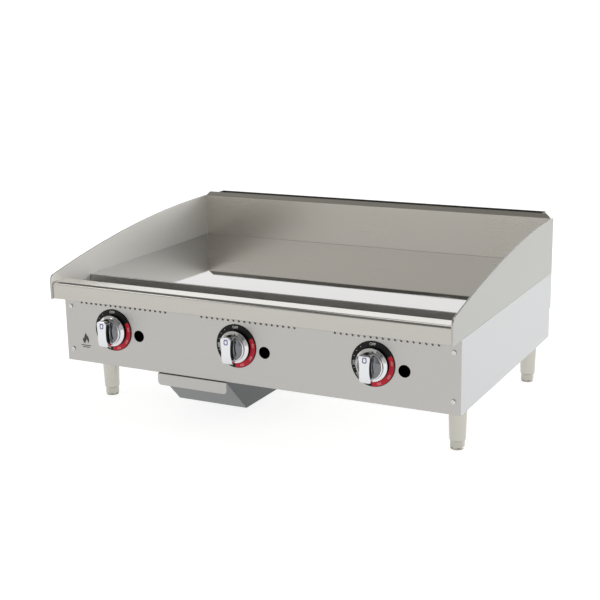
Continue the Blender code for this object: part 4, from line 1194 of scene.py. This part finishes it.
# Outline of the flame, in shares of its size.
FLAME = (
    (0.0, 1.00), (0.16, 0.72), (0.40, 0.44), (0.50, 0.12), (0.44, -0.20), (0.24, -0.42),
    (0.30, -0.20), (0.20, 0.02), (0.06, 0.14), (0.02, -0.10), (-0.10, -0.30), (-0.20, -0.46),
    (-0.40, -0.26), (-0.50, 0.06), (-0.40, 0.32), (-0.30, 0.20), (-0.20, 0.56),
)


FLAME_SIZE = 0.017
FLAME_RISE = 0.004
PANEL_MARK = Vector((-0.4075, PANEL_Y, 0.150))
BARS = ((-0.0075, 0.013), (-0.0115, 0.009))  # height and half length
BAR_HALF = 0.001
INK_HALF = 0.0001


def make_panel_mark():
    """A plain printed flame over two bars, low on the left of the panel."""
    bm = bmesh.new()
    shapes = [[(x * FLAME_SIZE, z * FLAME_SIZE + FLAME_RISE) for x, z in FLAME]]
    for level, half in BARS:
        low = level - BAR_HALF
        high = level + BAR_HALF
        shapes.append([(-half, low), (half, low), (half, high), (-half, high)])
    for outline in shapes:
        loop = [bm.verts.new(PANEL_MARK + Vector((x, INK_HALF, z))) for x, z in outline]
        face = bm.faces.new(loop)
        grown = bmesh.ops.extrude_face_region(bm, geom=[face], use_keep_orig=True)
        moved = [item for item in grown["geom"] if isinstance(item, bmesh.types.BMVert)]
        bmesh.ops.translate(bm, vec=(0, -2 * INK_HALF, 0), verts=moved)
    bmesh.ops.recalc_face_normals(bm, faces=bm.faces)
    mark = plain_object("panel_flame_mark", bm, [GREY_INK])
    settle(mark, "casing", "stainless")


# ---------------------------------------------------------------- legs, feet and drawer


STUD_RADIUS = 0.0048
STUD_TIP = 0.0043
LEG_TAPER = 0.82  # radius above the foot, as a share of the collar's
LEG_EDGE = 0.0008
LEG_TOE = 0.0010
FOOT_BORE = 0.0053
FOOT_BORE_DEPTH = 0.042


def make_legs():
    """Tapered cast legs: a collar under the casing, a long taper, and a step to the foot."""
    for corner in CORNERS:
        low, high = span(f"leg_{corner}")
        x = (low.x + high.x) / 2
        y = (low.y + high.y) / 2
        radius = (high.x - low.x) / 2
        collar = PANEL_LOW.z - GAP
        foot_top = low.z
        tip = radius * LEG_TAPER
        profile = [(0, high.z), (STUD_TIP, high.z)]
        profile += [(STUD_RADIUS, high.z - LEG_EDGE), (STUD_RADIUS, collar)]
        profile += arc((radius - LEG_EDGE, collar - LEG_EDGE), LEG_EDGE, 90, 0, 4)
        profile += [(radius, collar - 0.008), (radius - 0.0004, collar - 0.009)]
        profile += [(tip + 0.0006, foot_top + 0.0022)]
        profile += arc((tip - LEG_TOE, foot_top + LEG_TOE), LEG_TOE, 30, -90, 4)
        profile += [(FOOT_BORE, foot_top), (FOOT_BORE, foot_top + FOOT_BORE_DEPTH)]
        profile += [(0, foot_top + FOOT_BORE_DEPTH)]
        place = Matrix.Translation((x, y, 0))
        leg = plain_object(f"cast_leg_{corner}", turned(profile, 64, place), [LEG_SATIN])
        smooth(leg, 30)
        settle(leg, "casing", "leg_metal", f"leg_{corner}")


HEX_RADIUS = 0.0149
HEX_HEIGHT = 0.0150
HEX_MIDDLE = 0.0105
PAD_RADIUS = 0.0138
PAD_HEIGHT = 0.0045
THREAD_TIP = 0.0042
THREAD_CREST = 0.0049
THREAD_ROOT = 0.0043
THREAD_PITCH = 0.0016
THREAD_END = 0.019  # the lowest turn stays above this
THREAD_FOOT = 0.0100  # the shank reaches down into the hexagon


def make_feet():
    """Levelling feet: a hexagon to turn, a round pad below it and a thread above."""
    for corner in CORNERS:
        low, high = span(f"foot_{corner}")
        x = (low.x + high.x) / 2
        y = (low.y + high.y) / 2
        place = Matrix.Translation((x, y, 0))
        hexagon = rod(HEX_RADIUS, HEX_HEIGHT, 6, place @ Matrix.Translation((0, 0, HEX_MIDDLE)))
        nut = plain_object("hexagon", hexagon, [])
        round_edges(nut, 0.0010, 3)
        bake_modifiers(nut)
        pad = [(0, PAD_HEIGHT), (PAD_RADIUS - 0.0010, PAD_HEIGHT), (PAD_RADIUS, 0.0030)]
        pad += arc((PAD_RADIUS - 0.0006, 0.0008), 0.0008, 75, -90, 6) + [(0, 0)]
        thread = [(0, high.z), (THREAD_TIP, high.z)]
        turns = int((high.z - THREAD_END) / THREAD_PITCH)
        for turn in range(turns):
            level = high.z - THREAD_PITCH / 4 - turn * THREAD_PITCH
            thread.append((THREAD_CREST, level - THREAD_PITCH * 0.25))
            thread.append((THREAD_ROOT, level - THREAD_PITCH * 0.75))
        thread += [(THREAD_ROOT, THREAD_FOOT), (0, THREAD_FOOT)]
        meshes = [nut.data]
        for profile, steps in ((pad, 48), (thread, 24)):
            part = bpy.data.meshes.new("part")
            bm = turned(profile, steps, place)
            bm.to_mesh(part)
            bm.free()
            meshes.append(part)
        foot = join_meshes(f"levelling_foot_{corner}", meshes, [FOOT_SATIN])
        remove(nut)
        smooth(foot, 30)
        settle(foot, f"{corner}_foot", "foot_metal", f"foot_{corner}")


def make_drawer():
    """The pan, duller on its side walls and darker there with painted shade, and the folded lip that it
    is pulled by.
    """
    pan = refined("grease_drawer", "drawer_pan", DRAWER_STEEL, "drawer", "stainless", 0.0005)
    pan.data.materials.append(DRAWER_SIDE_PAINTED_SHADE)
    # The side walls take the darker sheet: painted shade.
    for face in pan.data.polygons:
        if abs(face.normal.x) > UPRIGHT:
            face.material_index = 1
    refined("drawer_pull", "drawer_pull_lip", PANEL_STEEL, "drawer", "stainless", 0.0004)


# ---------------------------------------------------------------- gas train


COUPLING_BORE = 0.01368
RIB_EDGE = 0.0010
RIB_WIDTH = 0.0040
RIB_END = 0.0050


def make_coupling():
    """An iron coupling: a plain sleeve between two raised ribs, with an open mouth."""
    low, high = span("inlet_coupling")
    x = (low.x + high.x) / 2
    z = (low.z + high.z) / 2
    outer = (high.x - low.x) / 2
    length = high.y - low.y
    rib = outer - 0.0006
    sleeve = outer - 0.0018
    profile = [(COUPLING_BORE, 0), (outer - 0.0016, 0), (rib, RIB_EDGE), (rib, RIB_WIDTH)]
    profile += [(sleeve, RIB_END), (sleeve, length - RIB_END)]
    profile += [(outer, length - RIB_WIDTH), (outer, length - RIB_EDGE), (outer - RIB_EDGE, length)]
    profile += [(COUPLING_BORE, length), (COUPLING_BORE, 0)]
    profile = [(radius, -height) for radius, height in profile]
    place = Matrix.Translation((x, high.y - length, z)) @ FACING_FRONT
    coupling = plain_object("iron_coupling", turned(profile, 64, place), [PIPE_LACQUER])
    smooth(coupling, 30)
    settle(coupling, "casing", "black_iron", "inlet_coupling")


PORTS = 34
PORT_RADIUS = 0.0011
PORT_DEPTH = 0.012
PORT_TILT = 28  # degrees to each side of the top
PORT_START = 0.05
PORT_MARGIN = 0.09  # length without ports, both ends together
BURNER_BORE = 0.0155
BURNER_END = 0.0035  # wall of the closed end
BURNER_EDGE = 0.001


def make_burners():
    """Tube burners with a row of drilled ports along each side of the top."""
    for station in STATIONS:
        low, high = span(f"burner_{station}")
        radius = (high.z - low.z) / 2
        centre = Vector(((low.x + high.x) / 2, 0, (low.z + high.z) / 2))
        length = high.y - low.y
        profile = [(0, 0), (radius - BURNER_EDGE, 0), (radius, -BURNER_EDGE), (radius, -length)]
        profile += [(BURNER_BORE, -length), (BURNER_BORE, -BURNER_END), (0, -BURNER_END)]
        lying = Matrix.Rotation(math.radians(-90), 4, "X")
        tube = turned(profile, 48, Matrix.Translation((centre.x, high.y, centre.z)) @ lying)
        burner = plain_object(f"tube_burner_{station}", tube, [SHEET_STEEL])
        drills = []
        for tilt in (-PORT_TILT, PORT_TILT):
            turn = Matrix.Rotation(math.radians(tilt), 4, "Y") @ Matrix.Translation((0, 0, radius))
            drill = plain_object("port_drill", rod(PORT_RADIUS, PORT_DEPTH, 8, turn), [])
            values = {
                "Piece": drill,
                "Count": PORTS,
                "First Place": (centre.x, low.y + PORT_START, centre.z),
                "Step": (0, (length - PORT_MARGIN) / (PORTS - 1), 0),
                "Material": SHEET_STEEL,
            }
            drills.append(mesh_object("ports", pattern(ROW, values), []))
            remove(drill)
        for drill in drills:
            cut(burner, drill)
        bake_modifiers(burner)
        remove(*drills)
        smooth(burner, 30)
        settle(burner, "casing", "aluminised_steel", f"burner_{station}")


# Node, piece, material, slot and softened edge of what each burner has on the casing.
GAS_PARTS = (
    ("thermostat", "griddle_thermostat", VALVE_ALLOY, "valve_casting", 0.0008),
    ("supply_tube", "gas_supply_tube", GAS_TUBE, "gas_tube", 0.0002),
    ("pilot_tube", "pilot_gas_tube", GAS_TUBE, "gas_tube", 0.0002),
    ("pilot_burner", "brass_pilot", TURNED_BRASS, "brass", 0.0004),
)


def make_gas_train():
    """The pipe, tubes, valves, stems and pilots keep their shape, with smooth round surfaces."""
    refined("gas_manifold", "gas_pipe", PIPE_LACQUER, "casing", "black_iron", 0.0003)
    for station in STATIONS:
        for node, piece, material, slot, edge in GAS_PARTS:
            refined(f"{node}_{station}", f"{piece}_{station}", material, "casing", slot, edge)
        stem = f"thermostat_stem_{station}"
        refined(stem, f"stem_{station}", TURNED_BRASS, f"{station}_knob", "brass", 0.0003)


# ---------------------------------------------------------------- everything

make_camera()
make_studio()
make_floor()
make_front_panel()
make_front_rail()
make_side_panels()
make_side_splashes()
make_back_splash()
make_griddle_plate()
make_panel_screws()
make_hidden_sheets()
make_dials()
make_knobs()
make_panel_mark()
make_legs()
make_feet()
make_drawer()
make_coupling()
make_burners()
make_gas_train()
